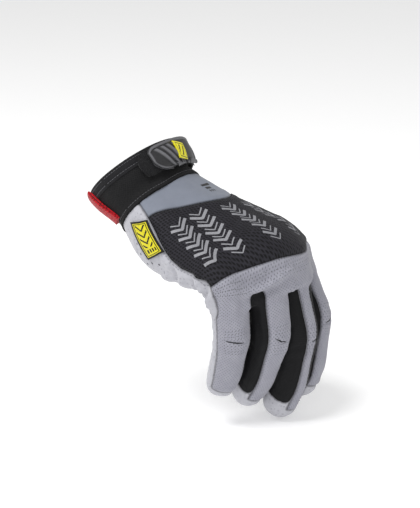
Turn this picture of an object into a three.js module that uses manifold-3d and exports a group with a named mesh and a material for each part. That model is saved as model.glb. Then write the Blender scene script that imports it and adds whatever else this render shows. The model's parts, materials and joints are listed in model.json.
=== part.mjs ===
// Right-hand mechanic's glove, worn shape with no hand in it.
// Millimetres. +Z is up as the glove hangs, -Y is where the knuckles point, +X is the thumb side.
// The origin is the centre of the cuff's mouth, where the wrist comes out.
import * as THREE from "three";
import { mergeVertices } from "three/addons/utils/BufferGeometryUtils.js";
import Module from "manifold-3d";

const wasm = await Module();
wasm.setup();

// Driving sizes of the hand inside
const palmLength = 90; // wrist centre to middle knuckle
const knuckleBreadth = 70; // little-finger knuckle centre to index knuckle centre
const palmDepth = 40; // the knuckle arch's heights are shares of this
const fingerLength = 107; // middle finger, knuckle centre to the end of the glove
const fingerWidth = 24.4; // middle finger at its middle joint
const wristBreadth = 67;
const wristDepth = 49;
const thumbWidth = 25;
const handPitch = 23.8; // nose-down turn of the back of the hand
const wristBend = 25; // the forearm tips back from the hand

// Driving sizes of the glove
const wall = 1.2; // hand panels
const seamGap = 0.35; // between sewn panels
const layGap = 0.5; // under what lies on a panel
const cuffGap = 0.6; // between the cuff's edge and the hand's panels
const cuffLength = 32;
const cuffOverlap = 10; // how far the cuff reaches past the wrist centre onto the hand
const cuffProud = 0.9; // the cuff stands this far over the hand's skin
const cuffWall = 2;
const cuffBreadth = 73;
const cuffDepth = 56;
const hemWidth = 7;
const hemWall = 2.5;
const hemProud = 1.2;
const fingerBase = 20; // knuckle centre to where the fingers part
const patchWall = 1;
const patchLength = 72; // round the cuff
const patchWidth = 20;
const patchInset = 1.5; // from the mouth
const patchStart = 0.11; // places round the cuff are shares of a turn from the little finger's side
const strapWall = 1.2;
const strapLength = 108;
const strapWidth = 15;
const strapInset = 3.5;
const tabWall = 2.4;
const tabLength = 62;
const tabWidth = 13;
const tabInset = 2;
const tabStart = 0.152;
const tabSlant = 32; // its hand-side edge runs off by this many millimetres per turn round the ring
const ribCount = 4;
const ribStart = 3;
const ribPitch = 8;
const ribWidth = 3.2;
const ribLean = 7;
const ribMargin = 2.4;
const ribHeight = 0.8;
const ribSink = 0.4; // a rib's foot inside the tab
const badgeStart = 38;
const badgeWidth = 15;
const badgeHeight = 9;
const badgeInset = 4; // from the mouth
const badgeWall = 0.8;
const labelLength = 27;
const labelWidth = 12.5;
const labelWall = 0.9;
const labelOn = 0.8; // clear of the facets under it
const labelStart = 0.175; // from the wrist centre, a share of palmLength
const loopAt = 0.915;
const loopWidth = 10;
const loopWall = 1.1;

const deg = Math.PI / 180;
const axisX = new THREE.Vector3(1, 0, 0);
const axisY = new THREE.Vector3(0, 1, 0);
const axisZ = new THREE.Vector3(0, 0, 1);
const vec = (x, y, z) => new THREE.Vector3(x, y, z);

// One row per finger. across, along and up place the knuckle as shares of knuckleBreadth,
// palmLength and palmDepth. long is a share of fingerLength, wide of fingerWidth, root the
// knuckle's width as a share of the finger's own. Bends are in degrees.
const fingerTable = [
  {
    name: "pinky", across: -0.46, along: 0.837, up: -0.212, long: 0.766, wide: 0.861, root: 1.24,
    knuckle: 65.5, middle: 16, spread: -5.4, roll: 9.8,
  },
  {
    name: "ring", across: -0.163, along: 0.937, up: 0.1, long: 0.935, wide: 0.943, root: 1.2,
    knuckle: 61.4, middle: 24, spread: -1.8, roll: 5.5,
  },
  {
    name: "middle", across: 0.19, along: 0.965, up: 0.095, long: 1, wide: 1, root: 1.2,
    knuckle: 51.7, middle: 25, spread: 0.5, roll: -1.6,
  },
  {
    name: "index", across: 0.545, along: 0.875, up: -0.075, long: 0.897, wide: 0.984, root: 1.22,
    knuckle: 38.5, middle: 27, spread: 5, roll: -6.8,
  },
];
// Where the joints lie along a finger and how thick it is there, as shares of its length and width
const middleJoint = 0.465;
const endJoint = 0.755;
const fingerForm = [
  { at: -0.1, width: 0 },
  { at: 0, width: 0 },
  { at: 0.2, width: 1.03 },
  { at: 0.35, width: 0.97 },
  { at: 0.465, width: 1 },
  { at: 0.6, width: 0.92 },
  { at: 0.755, width: 0.9 },
  { at: 0.9, width: 0.82 },
  { at: 1, width: 0.8 },
];
const bendSpan = 0.16; // a joint's bend is spread over this share of the finger
const fingerFlat = 1.07; // depth over width
const fingerSides = 12;

// The thumb lies beside the palm. Its points are shares of palmLength, its widths of thumbWidth.
const thumbTable = [
  { across: 0.22, along: 0.2, up: -0.11, width: 1.16 },
  { across: 0.36, along: 0.34, up: -0.2, width: 1.14 },
  { across: 0.47, along: 0.5, up: -0.28, width: 1.06 },
  { across: 0.54, along: 0.68, up: -0.35, width: 0.98 },
  { across: 0.58, along: 0.83, up: -0.41, width: 0.97 },
  { across: 0.59, along: 0.98, up: -0.47, width: 0.86 },
];

// The body's rings have 14 guide points: little-finger side and shoulder, four along the back,
// thumb shoulder, thumb side, thumb pad, four along the palm, outer pad.
// Angles round the wrist's oval for each, from the thumb side, back upward.
const ovalAngles = [180, 150, 122, 101, 79, 58, 30, 0, -30, -58, -79, -101, -122, -150];
const guideCount = ovalAngles.length;
const sidesPerGuide = 2;
const bodySides = guideCount * sidesPerGuide;

// Palm rows: share of the way from wrist to knuckles, then how far the glove stands out
// beyond a straight run, as shares of palmDepth: back, palm at the thumb, palm at the little finger,
// outer edge
const palmTable = [
  { at: 0.1, back: -0.03, thumbPad: 0.02, outerPad: 0.1, edge: 0.01 },
  { at: 0.25, back: -0.05, thumbPad: 0.06, outerPad: 0.22, edge: 0.05 },
  { at: 0.4, back: -0.06, thumbPad: 0.06, outerPad: 0.27, edge: 0.07 },
  { at: 0.55, back: -0.055, thumbPad: 0.04, outerPad: 0.26, edge: 0.07 },
  { at: 0.7, back: -0.04, thumbPad: 0.02, outerPad: 0.2, edge: 0.06 },
  { at: 0.85, back: -0.025, thumbPad: 0.0, outerPad: 0.1, edge: 0.03 },
];

// How much of each of those a guide point takes: back, thumb pad, outer pad, outer edge
const padShares = [
  [0, 0, 0.4, 1],
  [0.4, 0, 0.1, 0.5],
  [1, 0, 0, 0],
  [1, 0, 0, 0],
  [1, 0, 0, 0],
  [1, 0, 0, 0],
  [0.5, 0, 0, 0],
  [0, 0, 0, 0],
  [0, 0.6, 0, 0],
  [0, 1, 0, 0],
  [0, 0.8, 0.2, 0],
  [0, 0.2, 0.6, 0],
  [0, 0, 0.95, 0.2],
  [0, 0, 0.9, 0.7],
];

// Soft step from 0 to 1
function ease(x) {
  const t = Math.min(1, Math.max(0, x));
  return t * t * (3 - 2 * t);
}

// Straight-line reading of a table
function read(table, key, x, column) {
  let i = 0;
  while (i < table.length - 2 && x > table[i + 1][key]) i += 1;
  const t = (x - table[i][key]) / (table[i + 1][key] - table[i][key]);
  return THREE.MathUtils.lerp(table[i][column], table[i + 1][column], Math.min(1, Math.max(0, t)));
}

// A finger's frames: a walk from the knuckle outward, turning at each joint
function makeFinger(row) {
  const length = row.long * fingerLength;
  const radius = (row.wide * fingerWidth) / 2;
  const home = vec(row.across * knuckleBreadth, -row.along * palmLength, row.up * palmDepth);
  const turn = new THREE.Quaternion().setFromAxisAngle(axisY, -row.roll * deg);
  turn.multiply(new THREE.Quaternion().setFromAxisAngle(axisZ, -row.spread * deg));
  const bends = [
    { at: 0, angle: row.knuckle },
    { at: middleJoint * length, angle: row.middle },
    { at: endJoint * length, angle: row.middle * 0.5 },
  ];
  const span = bendSpan * length;
  const bendAt = (s) => bends.reduce((sum, b) => sum + b.angle * ease((s - b.at) / span + 0.5), 0);
  const pose = (s) => {
    const bent = new THREE.Quaternion().setFromAxisAngle(axisX, bendAt(s) * deg);
    return turn.clone().multiply(bent);
  };
  const step = 1;
  const spot = (s) => {
    const point = home.clone();
    const count = Math.max(1, Math.ceil(Math.abs(s) / step));
    for (let i = 0; i < count; i += 1) {
      const mid = ((i + 0.5) / count) * s;
      point.addScaledVector(axisY.clone().negate().applyQuaternion(pose(mid)), s / count);
    }
    return point;
  };
  const frame = (s) => {
    const q = pose(s);
    return {
      point: spot(s),
      along: axisY.clone().negate().applyQuaternion(q),
      back: axisZ.clone().applyQuaternion(q),
      side: axisX.clone().applyQuaternion(q),
    };
  };
  const rootRadius = radius * row.root;
  const radiusAt = (s) => {
    const share = s / length;
    if (share < 0.2) return THREE.MathUtils.lerp(rootRadius, radius * 1.03, ease(share / 0.2));
    return radius * read(fingerForm, "at", share, "width");
  };
  return { ...row, length, radius, rootRadius, frame, radiusAt };
}
const fingers = fingerTable.map(makeFinger);
const [pinky, ring, middle, index] = fingers;

// Guide points of the knuckle rings: s runs along every finger from its knuckle
const knucklePlump = 0.8; // the hand's skin stands this far over the finger's own
function knuckleRing(s) {
  const at = fingers.map((f) => ({ ...f.frame(s), r: f.radiusAt(s) + knucklePlump }));
  const spot = (f, angle) => {
    const p = f.point.clone().addScaledVector(f.back, f.r * fingerFlat * Math.cos(angle * deg));
    return p.addScaledVector(f.side, -f.r * Math.sin(angle * deg));
  };
  const back = at.map((f) => spot(f, 0));
  const front = at.map((f) => spot(f, 180));
  const thumbEdge = [-45, -90, -135].map((angle) => spot(at[3], angle));
  const outerEdge = [135, 90, 45].map((angle) => spot(at[0], angle));
  return [outerEdge[1], outerEdge[2], ...back, ...thumbEdge, ...front.reverse(), outerEdge[0]];
}

// Guide points of an oval ring on the forearm, d beyond the wrist centre
function ovalRing(d, breadth, depth, tilt) {
  const out = axisY.clone().applyAxisAngle(axisX, wristBend * deg);
  const up = axisZ.clone().applyAxisAngle(axisX, tilt * deg);
  return ovalAngles.map((a) => {
    const p = out.clone().multiplyScalar(d);
    p.addScaledVector(axisX, (breadth / 2) * Math.cos(a * deg));
    return p.addScaledVector(up, (depth / 2) * Math.sin(a * deg));
  });
}

// Every ring of the body with its distance from the cuff's mouth
const wristAt = cuffLength - cuffOverlap;
const lastPalm = -8; // the knuckle rings start this far before the knuckle centres
const knuckleAt = wristAt + palmLength;
const cuffTaper = 0.12; // the cuff narrows by this share of the way in
function bodyRows() {
  const rows = [];
  const openEnd = -6;
  for (const v of [openEnd, 0, wristAt * 0.5]) {
    const narrower = v * cuffTaper;
    rows.push({ v, ring: ovalRing(wristAt - v, cuffBreadth - narrower, cuffDepth - narrower, wristBend) });
  }
  const wrist = ovalRing(0, wristBreadth, wristDepth, wristBend * 0.5);
  rows.push({ v: wristAt, ring: wrist });
  const knuckles = knuckleRing(lastPalm);
  for (const row of palmTable) {
    const points = wrist.map((w, i) => {
      const p = w.clone().lerp(knuckles[i], row.at);
      const [back, thumbPad, outerPad, edge] = padShares[i];
      p.z += (row.back * back - row.thumbPad * thumbPad - row.outerPad * outerPad) * palmDepth;
      p.x -= row.edge * edge * palmDepth;
      return p;
    });
    rows.push({ v: wristAt + row.at * (palmLength + lastPalm), ring: points });
  }
  for (const share of [0, 0.3, 0.6, 1, 1.25]) {
    rows.push({ v: knuckleAt + share * fingerBase, ring: knuckleRing(share * fingerBase) });
  }
  rows.splice(rows.length - 5, 0, { v: knuckleAt + lastPalm, ring: knuckles });
  return rows;
}
const body = bodyRows();
const bodyEnd = knuckleAt + fingerBase;

// Smooth ring at any distance, as a closed curve
const ringCache = new Map();
function bodyCurve(v) {
  const key = v.toFixed(4);
  if (ringCache.has(key)) return ringCache.get(key);
  let i = 0;
  while (i < body.length - 2 && v > body[i + 1].v) i += 1;
  const a = body[i];
  const b = body[i + 1];
  const before = body[Math.max(0, i - 1)];
  const after = body[Math.min(body.length - 1, i + 2)];
  const h = b.v - a.v;
  const t = (v - a.v) / h;
  const points = a.ring.map((p, k) => {
    const m0 = b.ring[k].clone().sub(before.ring[k]).multiplyScalar(h / (b.v - before.v));
    const m1 = after.ring[k].clone().sub(p).multiplyScalar(h / (after.v - a.v));
    const q = p.clone().multiplyScalar(2 * t ** 3 - 3 * t ** 2 + 1);
    q.addScaledVector(m0, t ** 3 - 2 * t ** 2 + t);
    q.addScaledVector(b.ring[k], -2 * t ** 3 + 3 * t ** 2);
    return q.addScaledVector(m1, t ** 3 - t ** 2);
  });
  const curve = new THREE.CatmullRomCurve3(points, true, "centripetal");
  ringCache.set(key, curve);
  return curve;
}

// A point of the body's skin: u runs 0 to 1 round the ring, v along, out stands it off the skin
function bodyPoint(u, v, out) {
  const around = (x) => ((x % 1) + 1) % 1;
  const du = 0.002;
  const dv = 0.2;
  const curve = bodyCurve(v);
  const p = curve.getPoint(around(u));
  if (out === 0) return p;
  const tu = curve.getPoint(around(u + du)).sub(curve.getPoint(around(u - du)));
  const tv = bodyCurve(v + dv).getPoint(around(u)).sub(bodyCurve(v - dv).getPoint(around(u)));
  return p.addScaledVector(tv.cross(tu).normalize(), out);
}

// A point of a finger's skin: angle 0 is the back, positive toward the little finger
function fingerPoint(finger, angle, s, out) {
  const f = finger.frame(s);
  const r = finger.radiusAt(s) + out;
  const p = f.point.clone().addScaledVector(f.back, r * fingerFlat * Math.cos(angle * deg));
  return p.addScaledVector(f.side, -r * Math.sin(angle * deg));
}

// Closed solid from rings of points, with a flat fan over each end
function loft(rings) {
  const n = rings[0].length;
  const pos = [];
  const tri = [];
  for (const r of rings) for (const p of r) pos.push(p.x, p.y, p.z);
  for (let i = 0; i < rings.length - 1; i += 1) {
    for (let j = 0; j < n; j += 1) {
      const a = i * n + j;
      const b = i * n + ((j + 1) % n);
      tri.push(a, b, b + n, a, b + n, a + n);
    }
  }
  const ends = [rings[0], rings[rings.length - 1]];
  ends.forEach((r, e) => {
    const c = r.reduce((sum, p) => sum.add(p), vec(0, 0, 0)).divideScalar(n);
    const k = pos.length / 3;
    pos.push(c.x, c.y, c.z);
    const base = e === 0 ? 0 : (rings.length - 1) * n;
    for (let j = 0; j < n; j += 1) {
      const a = base + j;
      const b = base + ((j + 1) % n);
      if (e === 0) tri.push(k, b, a);
      else tri.push(k, a, b);
    }
  });
  return solidOf(pos, tri);
}

// Manifold solid from loose numbers, turned to face outward
function solidOf(pos, tri) {
  const g = new THREE.BufferGeometry();
  g.setAttribute("position", new THREE.Float32BufferAttribute(pos, 3));
  g.setIndex(tri);
  const merged = mergeVertices(g, 1e-5);
  const p = merged.attributes.position.array;
  const t = Array.from(merged.index.array);
  const clean = [];
  let volume = 0;
  for (let i = 0; i < t.length; i += 3) {
    const [a, b, c] = [t[i], t[i + 1], t[i + 2]];
    if (a === b || b === c || a === c) continue;
    clean.push(a, b, c);
    const va = vec(p[3 * a], p[3 * a + 1], p[3 * a + 2]);
    const vb = vec(p[3 * b], p[3 * b + 1], p[3 * b + 2]);
    const vc = vec(p[3 * c], p[3 * c + 1], p[3 * c + 2]);
    volume += va.dot(vb.cross(vc));
  }
  if (volume < 0) clean.reverse();
  const vertProperties = new Float32Array(p);
  const triVerts = new Uint32Array(clean);
  return new wasm.Manifold(new wasm.Mesh({ numProp: 3, vertProperties, triVerts }));
}

// Skin of the whole hand from v0 on, standing out (or in, if negative) from the true surface
function handSolid(v0, out) {
  const stops = body.map((r) => r.v).filter((v) => v > cuffLength + 2 && v < bodyEnd - 1);
  const starts = (u) => (v0 === null ? cuffEdge(u) + cuffGap : v0);
  const rings = [-1, ...stops, bodyEnd + out].map((v) =>
    Array.from({ length: bodySides }, (_, j) => {
      const u = j / bodySides;
      return bodyPoint(u, v < 0 ? starts(u) : v, out);
    }));
  let solid = loft(rings);
  for (const f of fingers) solid = solid.add(fingerSolid(f, out));
  return solid;
}

// A round-ended finger, whose root is sunk in the body
const rootShare = 0.66;
const fingerStops = [0.1, 0.22, 0.34, 0.465, 0.57, 0.67, 0.76];
const capAngles = [0, 42, 76];
const tipShare = 0.8; // a fingertip's rounding over the finger's radius
function fingerSolid(f, out) {
  const places = fingerStops.map((x) => ({ s: x * f.length, shrink: 1 }));
  const tip = f.radius * tipShare;
  for (const a of capAngles) {
    places.push({ s: f.length - tip + (tip + out) * Math.sin(a * deg), shrink: Math.cos(a * deg) });
  }
  const rings = places.map((p) => {
    const frame = f.frame(p.s);
    const sunk = THREE.MathUtils.lerp(rootShare, 1, ease(p.s / fingerBase));
    const r = (f.radiusAt(Math.min(p.s, f.length)) * sunk + out) * p.shrink;
    return Array.from({ length: fingerSides }, (_, j) => {
      const a = (j / fingerSides) * 2 * Math.PI;
      const q = frame.point.clone().addScaledVector(frame.back, r * fingerFlat * Math.cos(a));
      return q.addScaledVector(frame.side, -r * Math.sin(a));
    });
  });
  return loft(rings);
}

// The thumb's line and thickness
const thumbCurve = new THREE.CatmullRomCurve3(
  thumbTable.map((r) => vec(r.across, -r.along, r.up).multiplyScalar(palmLength)), false, "centripetal");
const thumbStops = [0.04, 0.2, 0.36, 0.52, 0.68, 0.82, 0.9];
function thumbRadius(t) {
  const x = t * (thumbTable.length - 1);
  const i = Math.min(thumbTable.length - 2, Math.floor(x));
  return (THREE.MathUtils.lerp(thumbTable[i].width, thumbTable[i + 1].width, x - i) * thumbWidth) / 2;
}
function thumbRing(t, scale, shift, out) {
  const p = thumbCurve.getPoint(t);
  const along = thumbCurve.getTangent(t);
  const back = vec(0.55, 0, 0.83).addScaledVector(along, -along.dot(vec(0.55, 0, 0.83))).normalize();
  const side = along.clone().cross(back);
  const r = (thumbRadius(t) + out) * scale;
  return Array.from({ length: fingerSides }, (_, j) => {
    const a = (j / fingerSides) * 2 * Math.PI;
    const q = p.clone().addScaledVector(along, shift).addScaledVector(back, r * Math.cos(a));
    return q.addScaledVector(side, r * Math.sin(a));
  });
}
function thumbSolid(out) {
  const rings = thumbStops.map((t) => thumbRing(t, 1, 0, out));
  const last = thumbStops[thumbStops.length - 1];
  const tip = thumbRadius(last);
  for (const a of capAngles.slice(1)) {
    rings.push(thumbRing(last, Math.cos(a * deg), (tip + out) * Math.sin(a * deg), out));
  }
  return loft(rings);
}

const roundMm = 1 / 240; // one millimetre round the body's ring, as a share of it

// The cuff's hand-side edge, round the ring: it dips toward the palm at the little finger
const edgeTable = [
  { u: 0, reach: 0.93 },
  { u: 0.07, reach: 0.99 },
  { u: 0.15, reach: 1.07 },
  { u: 0.27, reach: 1.04 },
  { u: 0.5, reach: 1 },
  { u: 0.8, reach: 0.95 },
  { u: 0.92, reach: 0.87 },
  { u: 1, reach: 0.93 },
];
function cuffEdge(u) {
  return read(edgeTable, "u", ((u % 1) + 1) % 1, "reach") * cuffLength;
}

// A slab of the body between two edges round it and two along it, from deep to proud of the skin.
// Each edge is a function: uLow and uHigh of the share along, vLow and vHigh of u.
function bodySlab(uLow, uHigh, vLow, vHigh, deep, proud, rowsAlong, rowsRound) {
  const rings = [];
  for (let i = 0; i <= rowsAlong; i += 1) {
    const t = i / rowsAlong;
    const across = Array.from({ length: rowsRound + 1 }, (_, j) => {
      const u = THREE.MathUtils.lerp(uLow(t), uHigh(t), j / rowsRound);
      return { u, v: THREE.MathUtils.lerp(vLow(u), vHigh(u), t) };
    });
    const top = across.map((q) => bodyPoint(q.u, q.v, proud));
    const under = across.map((q) => bodyPoint(q.u, q.v, deep)).reverse();
    rings.push([...top, ...under]);
  }
  return loftSlab(rings, rowsRound + 1);
}

// Closed solid from slab sections, each a top run and an under run of the same count
function loftSlab(rings, count) {
  const n = count * 2;
  const pos = rings.flat().flatMap((p) => [p.x, p.y, p.z]);
  const tri = [];
  for (let i = 0; i < rings.length - 1; i += 1) {
    for (let j = 0; j < n; j += 1) {
      const a = i * n + j;
      const b = i * n + ((j + 1) % n);
      tri.push(a, b, b + n, a, b + n, a + n);
    }
  }
  const last = (rings.length - 1) * n;
  for (let j = 0; j < count - 1; j += 1) {
    const k = n - 1 - j;
    tri.push(j + 1, j, k, j + 1, k, k - 1);
    tri.push(last + j, last + j + 1, last + k, last + j + 1, last + k - 1, last + k);
  }
  return solidOf(pos, tri);
}

// A slab over four corners [u, v] of the body: two at its start, two at its end, in the same order round
function cornerSlab(corners, deep, proud, rowsAlong, rowsRound) {
  const [a, b, c, d] = corners;
  const rings = Array.from({ length: rowsAlong + 1 }, (_, i) => {
    const t = i / rowsAlong;
    const at = (x, k) => THREE.MathUtils.lerp(
      THREE.MathUtils.lerp(a[k], b[k], x), THREE.MathUtils.lerp(c[k], d[k], x), t);
    const shares = Array.from({ length: rowsRound + 1 }, (_, j) => j / rowsRound);
    const top = shares.map((x) => bodyPoint(at(x, 0), at(x, 1), proud));
    const under = shares.map((x) => bodyPoint(at(x, 0), at(x, 1), deep)).reverse();
    return [...top, ...under];
  });
  return loftSlab(rings, rowsRound + 1);
}

// A flat ribbon of even thickness that runs along the body, centred on u, through stops of v and height
function ribbon(u, width, thick, stops) {
  const half = (width / 2) * roundMm;
  const rings = stops.map((q, i) => {
    const before = stops[Math.max(0, i - 1)];
    const after = stops[Math.min(stops.length - 1, i + 1)];
    const run = Math.hypot(after.v - before.v, after.out - before.out);
    const nv = (-(after.out - before.out) / run) * (thick / 2);
    const no = ((after.v - before.v) / run) * (thick / 2);
    const across = [u - half, u, u + half];
    const top = across.map((x) => bodyPoint(x, q.v + nv, q.out + no));
    const under = across.map((x) => bodyPoint(x, q.v - nv, q.out - no)).reverse();
    return [...top, ...under];
  });
  return loftSlab(rings, 3);
}

const wedgeStep = 32; // degrees
const wedgeReach = 0.5; // over the finger's skin
const wedgeDepth = 0.62; // under it, as a share of the radius

// A wedge of a finger between two angles, from s0 to s1, thick enough to cut its wall through.
// Its rows lie on the finger's own rings, so that it clears the bent skin evenly.
function fingerWedge(f, angleLow, angleHigh, s0, s1, grow) {
  const across = Math.ceil((angleHigh - angleLow) / wedgeStep);
  const stops = fingerStops.map((x) => x * f.length).filter((s) => s > s0 + 1 && s < s1 - 1);
  const rings = [s0, ...stops, s1].map((s) => {
    const shares = Array.from({ length: across + 1 }, (_, j) => j / across);
    const angles = shares.map((x) => THREE.MathUtils.lerp(angleLow, angleHigh, x));
    const top = angles.map((a) => fingerPoint(f, a, s, wedgeReach + grow));
    const under = angles.map((a) => fingerPoint(f, a, s, -f.radiusAt(s) * wedgeDepth - grow)).reverse();
    return [...top, ...under];
  });
  return loftSlab(rings, across + 1);
}

// Where the back strip's seams run on each finger, in degrees from the back:
// little is the edge toward the little finger, thumb toward the thumb
const stripTable = [
  { finger: pinky, little: 95, thumb: 45 },
  { finger: ring, little: 50, thumb: 45 },
  { finger: middle, little: 42, thumb: 42 },
  { finger: index, little: 34, thumb: 95 },
];
const palmSeam = 145; // where a sidewall meets the palm, in degrees from the back
const stripEnd = 0.9; // the strips end at this share of the finger
const wallEnd = 0.86; // the sidewalls end at this share
// The webs between fingers: place round the ring, start and half width as shares of fingerBase and the ring
const webTable = [
  { low: 0, place: 0.17, start: 0.55, half: 0.017 },
  { low: 1, place: 0.24, start: 0.8, half: 0.016 },
  { low: 2, place: 0.312, start: 0.6, half: 0.016 },
];

// Seams of the back, from the little finger's side to the thumb's, along the ring's share u
const littleSeam = [
  { v: 0.3, u: 0.04 },
  { v: 0.4, u: 0.036 },
  { v: 0.62, u: 0.004 },
  { v: 0.68, u: -0.006 },
  { v: 0.8, u: -0.002 },
  { v: 1.2, u: -0.006 },
];
const thumbSeam = 0.515;
const wristSeam = [
  { u: -0.1, reach: 0.17 },
  { u: 0.04, reach: 0.21 },
  { u: 0.1, reach: 0.29 },
  { u: 0.157, reach: 0.37 },
  { u: 0.204, reach: 0.425 },
  { u: 0.25, reach: 0.46 },
  { u: 0.32, reach: 0.45 },
  { u: 0.42, reach: 0.36 },
  { u: 0.6, reach: 0.2 },
];
const knuckleSeam = [
  { u: -0.1, reach: 0.985 },
  { u: 0, reach: 1 },
  { u: 0.07, reach: 1.025 },
  { u: 0.15, reach: 1.045 },
  { u: 0.35, reach: 1.045 },
  { u: 0.45, reach: 1.02 },
  { u: 0.6, reach: 0.985 },
];
const seamAt = (table, u) => wristAt + read(table, "u", u, "reach") * palmLength;
const littleU = (v) => read(littleSeam, "v", (v - wristAt) / palmLength, "u");

// The part of a sidewall that lies in the body's end, between two fingers: round-topped and upright
const webDepth = 15;
const webProud = 2;
function webSlab(web, grow) {
  const rowsAlong = 5;
  const rowsRound = 3;
  const v0 = knuckleAt + web.start * fingerBase - grow;
  const rings = Array.from({ length: rowsAlong + 1 }, (_, i) => {
    const t = i / rowsAlong;
    const v = THREE.MathUtils.lerp(v0, bodyEnd + 2 + grow, t);
    const half = web.half * Math.sqrt(Math.min(1, 0.1 + t * 1.6)) + grow * roundMm;
    const s = v - knuckleAt;
    const down = fingers[web.low].frame(s).back.add(fingers[web.low + 1].frame(s).back).normalize();
    const top = Array.from({ length: rowsRound + 1 }, (_, j) =>
      bodyPoint(web.place - half + (2 * half * j) / rowsRound, v, 0).addScaledVector(down, webProud));
    const under = top.map((q) => q.clone().addScaledVector(down, -webDepth - grow)).reverse();
    return [...top, ...under];
  });
  return loftSlab(rings, rowsRound + 1);
}

// Keeps the largest body of a cut
function largest(solid) {
  return solid.decompose().sort((a, b) => b.volume() - a.volume())[0];
}

const group = new THREE.Group();
const hand = new THREE.Group();
group.add(hand);

// Collapses the hairline edges that a cut leaves
function collapse(mesh, hairline) {
  const p = mesh.vertProperties;
  const t = mesh.triVerts;
  const count = p.length / 3;
  const parent = Int32Array.from({ length: count }, (_, i) => i);
  const root = (i) => {
    while (parent[i] !== i) i = parent[i];
    return i;
  };
  const spot = (i) => vec(p[3 * i], p[3 * i + 1], p[3 * i + 2]);
  const gap = (a, b) => spot(a).distanceTo(spot(b));
  for (let i = 0; i < t.length; i += 3) {
    for (let k = 0; k < 3; k += 1) {
      const a = root(t[i + k]);
      const b = root(t[i + ((k + 1) % 3)]);
      if (a !== b && gap(a, b) < hairline) parent[Math.max(a, b)] = Math.min(a, b);
    }
  }
  const kept = new Map();
  for (let i = 0; i < t.length; i += 3) {
    const [a, b, c] = [root(t[i]), root(t[i + 1]), root(t[i + 2])];
    if (a === b || b === c || a === c) continue;
    const key = [a, b, c].sort((x, y) => x - y).join();
    if (kept.has(key)) kept.delete(key);
    else kept.set(key, [a, b, c]);
  }
  const triVerts = new Uint32Array([...kept.values()].flat());
  return new wasm.Mesh({ numProp: 3, vertProperties: p, triVerts });
}

// The same with the longest limit that leaves the piece one closed body
const hairlines = [0.2, 0.1, 0.05, 0.02, 0.005];
function tidy(solid) {
  const mesh = solid.getMesh();
  for (const limit of hairlines) {
    const clean = collapse(mesh, limit);
    const edges = new Set();
    for (let i = 0; i < clean.triVerts.length; i += 3) {
      const t = clean.triVerts.slice(i, i + 3);
      for (let k = 0; k < 3; k += 1) edges.add(t[k] + ">" + t[(k + 1) % 3]);
    }
    const paired = [...edges].every((e) => edges.has(e.split(">").reverse().join(">")));
    if (!paired || edges.size !== clean.triVerts.length) continue;
    if (new wasm.Manifold(clean).decompose().length === 1) return clean;
  }
  return mesh;
}

function addPiece(name, solid, color, roughness) {
  const mesh = tidy(solid);
  const g = new THREE.BufferGeometry();
  g.setAttribute("position", new THREE.BufferAttribute(new Float32Array(mesh.vertProperties), 3));
  g.setIndex(new THREE.BufferAttribute(mesh.triVerts, 1));
  const material = new THREE.MeshStandardMaterial({ color, roughness, metalness: 0 });
  const piece = new THREE.Mesh(g, material);
  piece.name = name;
  hand.add(piece);
}

// The hand's shell, open at the cuff's edge, with the thumb's hole
const hollowStart = cuffLength * 0.75; // the hollow is cut from inside the cuff's hand-side edge on
const handOuter = handSolid(null, 0);
const handInner = handSolid(hollowStart, -wall);
const thumbInner = thumbSolid(-wall);
let rest = handOuter.subtract(handInner).subtract(thumbInner);

// Takes a panel out of the shell and leaves a seam round it
function takePanel(cutter) {
  const panel = largest(rest.intersect(cutter(0)));
  rest = rest.subtract(cutter(seamGap));
  return panel;
}

// Back panels
const cutDeep = -6;
const cutProud = 6;
const wristCut = (grow) => bodySlab(
  () => 0.04 - grow * roundMm, () => thumbSeam + grow * roundMm,
  (u) => cuffEdge(u) - 2, (u) => seamAt(wristSeam, u) + grow, cutDeep - grow, cutProud + grow, 2, 10);
const wristPanel = takePanel(wristCut);
const backCut = (grow) => {
  const lowV = (u) => seamAt(wristSeam, u);
  const highV = (u) => seamAt(knuckleSeam, u) + grow;
  return bodySlab(
    (t) => littleU(THREE.MathUtils.lerp(lowV(0), highV(0), t)) - grow * roundMm,
    (t) => thumbSeam + grow * roundMm, (u) => lowV(u) - 1, highV, cutDeep - grow, cutProud + grow, 5, 10);
};
const backPanel = takePanel(backCut);

// Sidewalls between the fingers
const sidewallNames = ["sidewall_pinky_ring", "sidewall_ring_middle", "sidewall_middle_index"];
const sidewalls = webTable.map((web) => {
  const a = stripTable[web.low];
  const b = stripTable[web.low + 1];
  const cut = (grow) => {
    const lean = (f) => grow / f.radius / deg;
    const s0 = fingerBase * 0.8;
    const one = fingerWedge(a.finger, -palmSeam - lean(a.finger), -a.thumb + lean(a.finger),
      s0 - grow, a.finger.length * wallEnd + grow, grow);
    const two = fingerWedge(b.finger, b.little - lean(b.finger), palmSeam + lean(b.finger),
      s0 - grow, b.finger.length * wallEnd + grow, grow);
    return one.add(two).add(webSlab(web, grow));
  };
  return takePanel(cut);
});

// The grey panel over the knuckles, with a strip down each finger
const fingerBackCut = (grow) => {
  let solid = bodySlab(
    (t) => -0.006 - grow * roundMm, (t) => thumbSeam + grow * roundMm,
    (u) => seamAt(knuckleSeam, u) - 1, () => bodyEnd + 1 + grow, cutDeep - grow, cutProud + grow, 2, 10);
  for (const row of stripTable) {
    const lean = grow / row.finger.radius / deg;
    solid = solid.add(fingerWedge(row.finger, -row.thumb - lean, row.little + lean,
      fingerBase * 0.75 - grow, row.finger.length * stripEnd + grow, grow));
  }
  return solid;
};
const fingerBack = takePanel(fingerBackCut);
const palmPanel = largest(rest);

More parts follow.
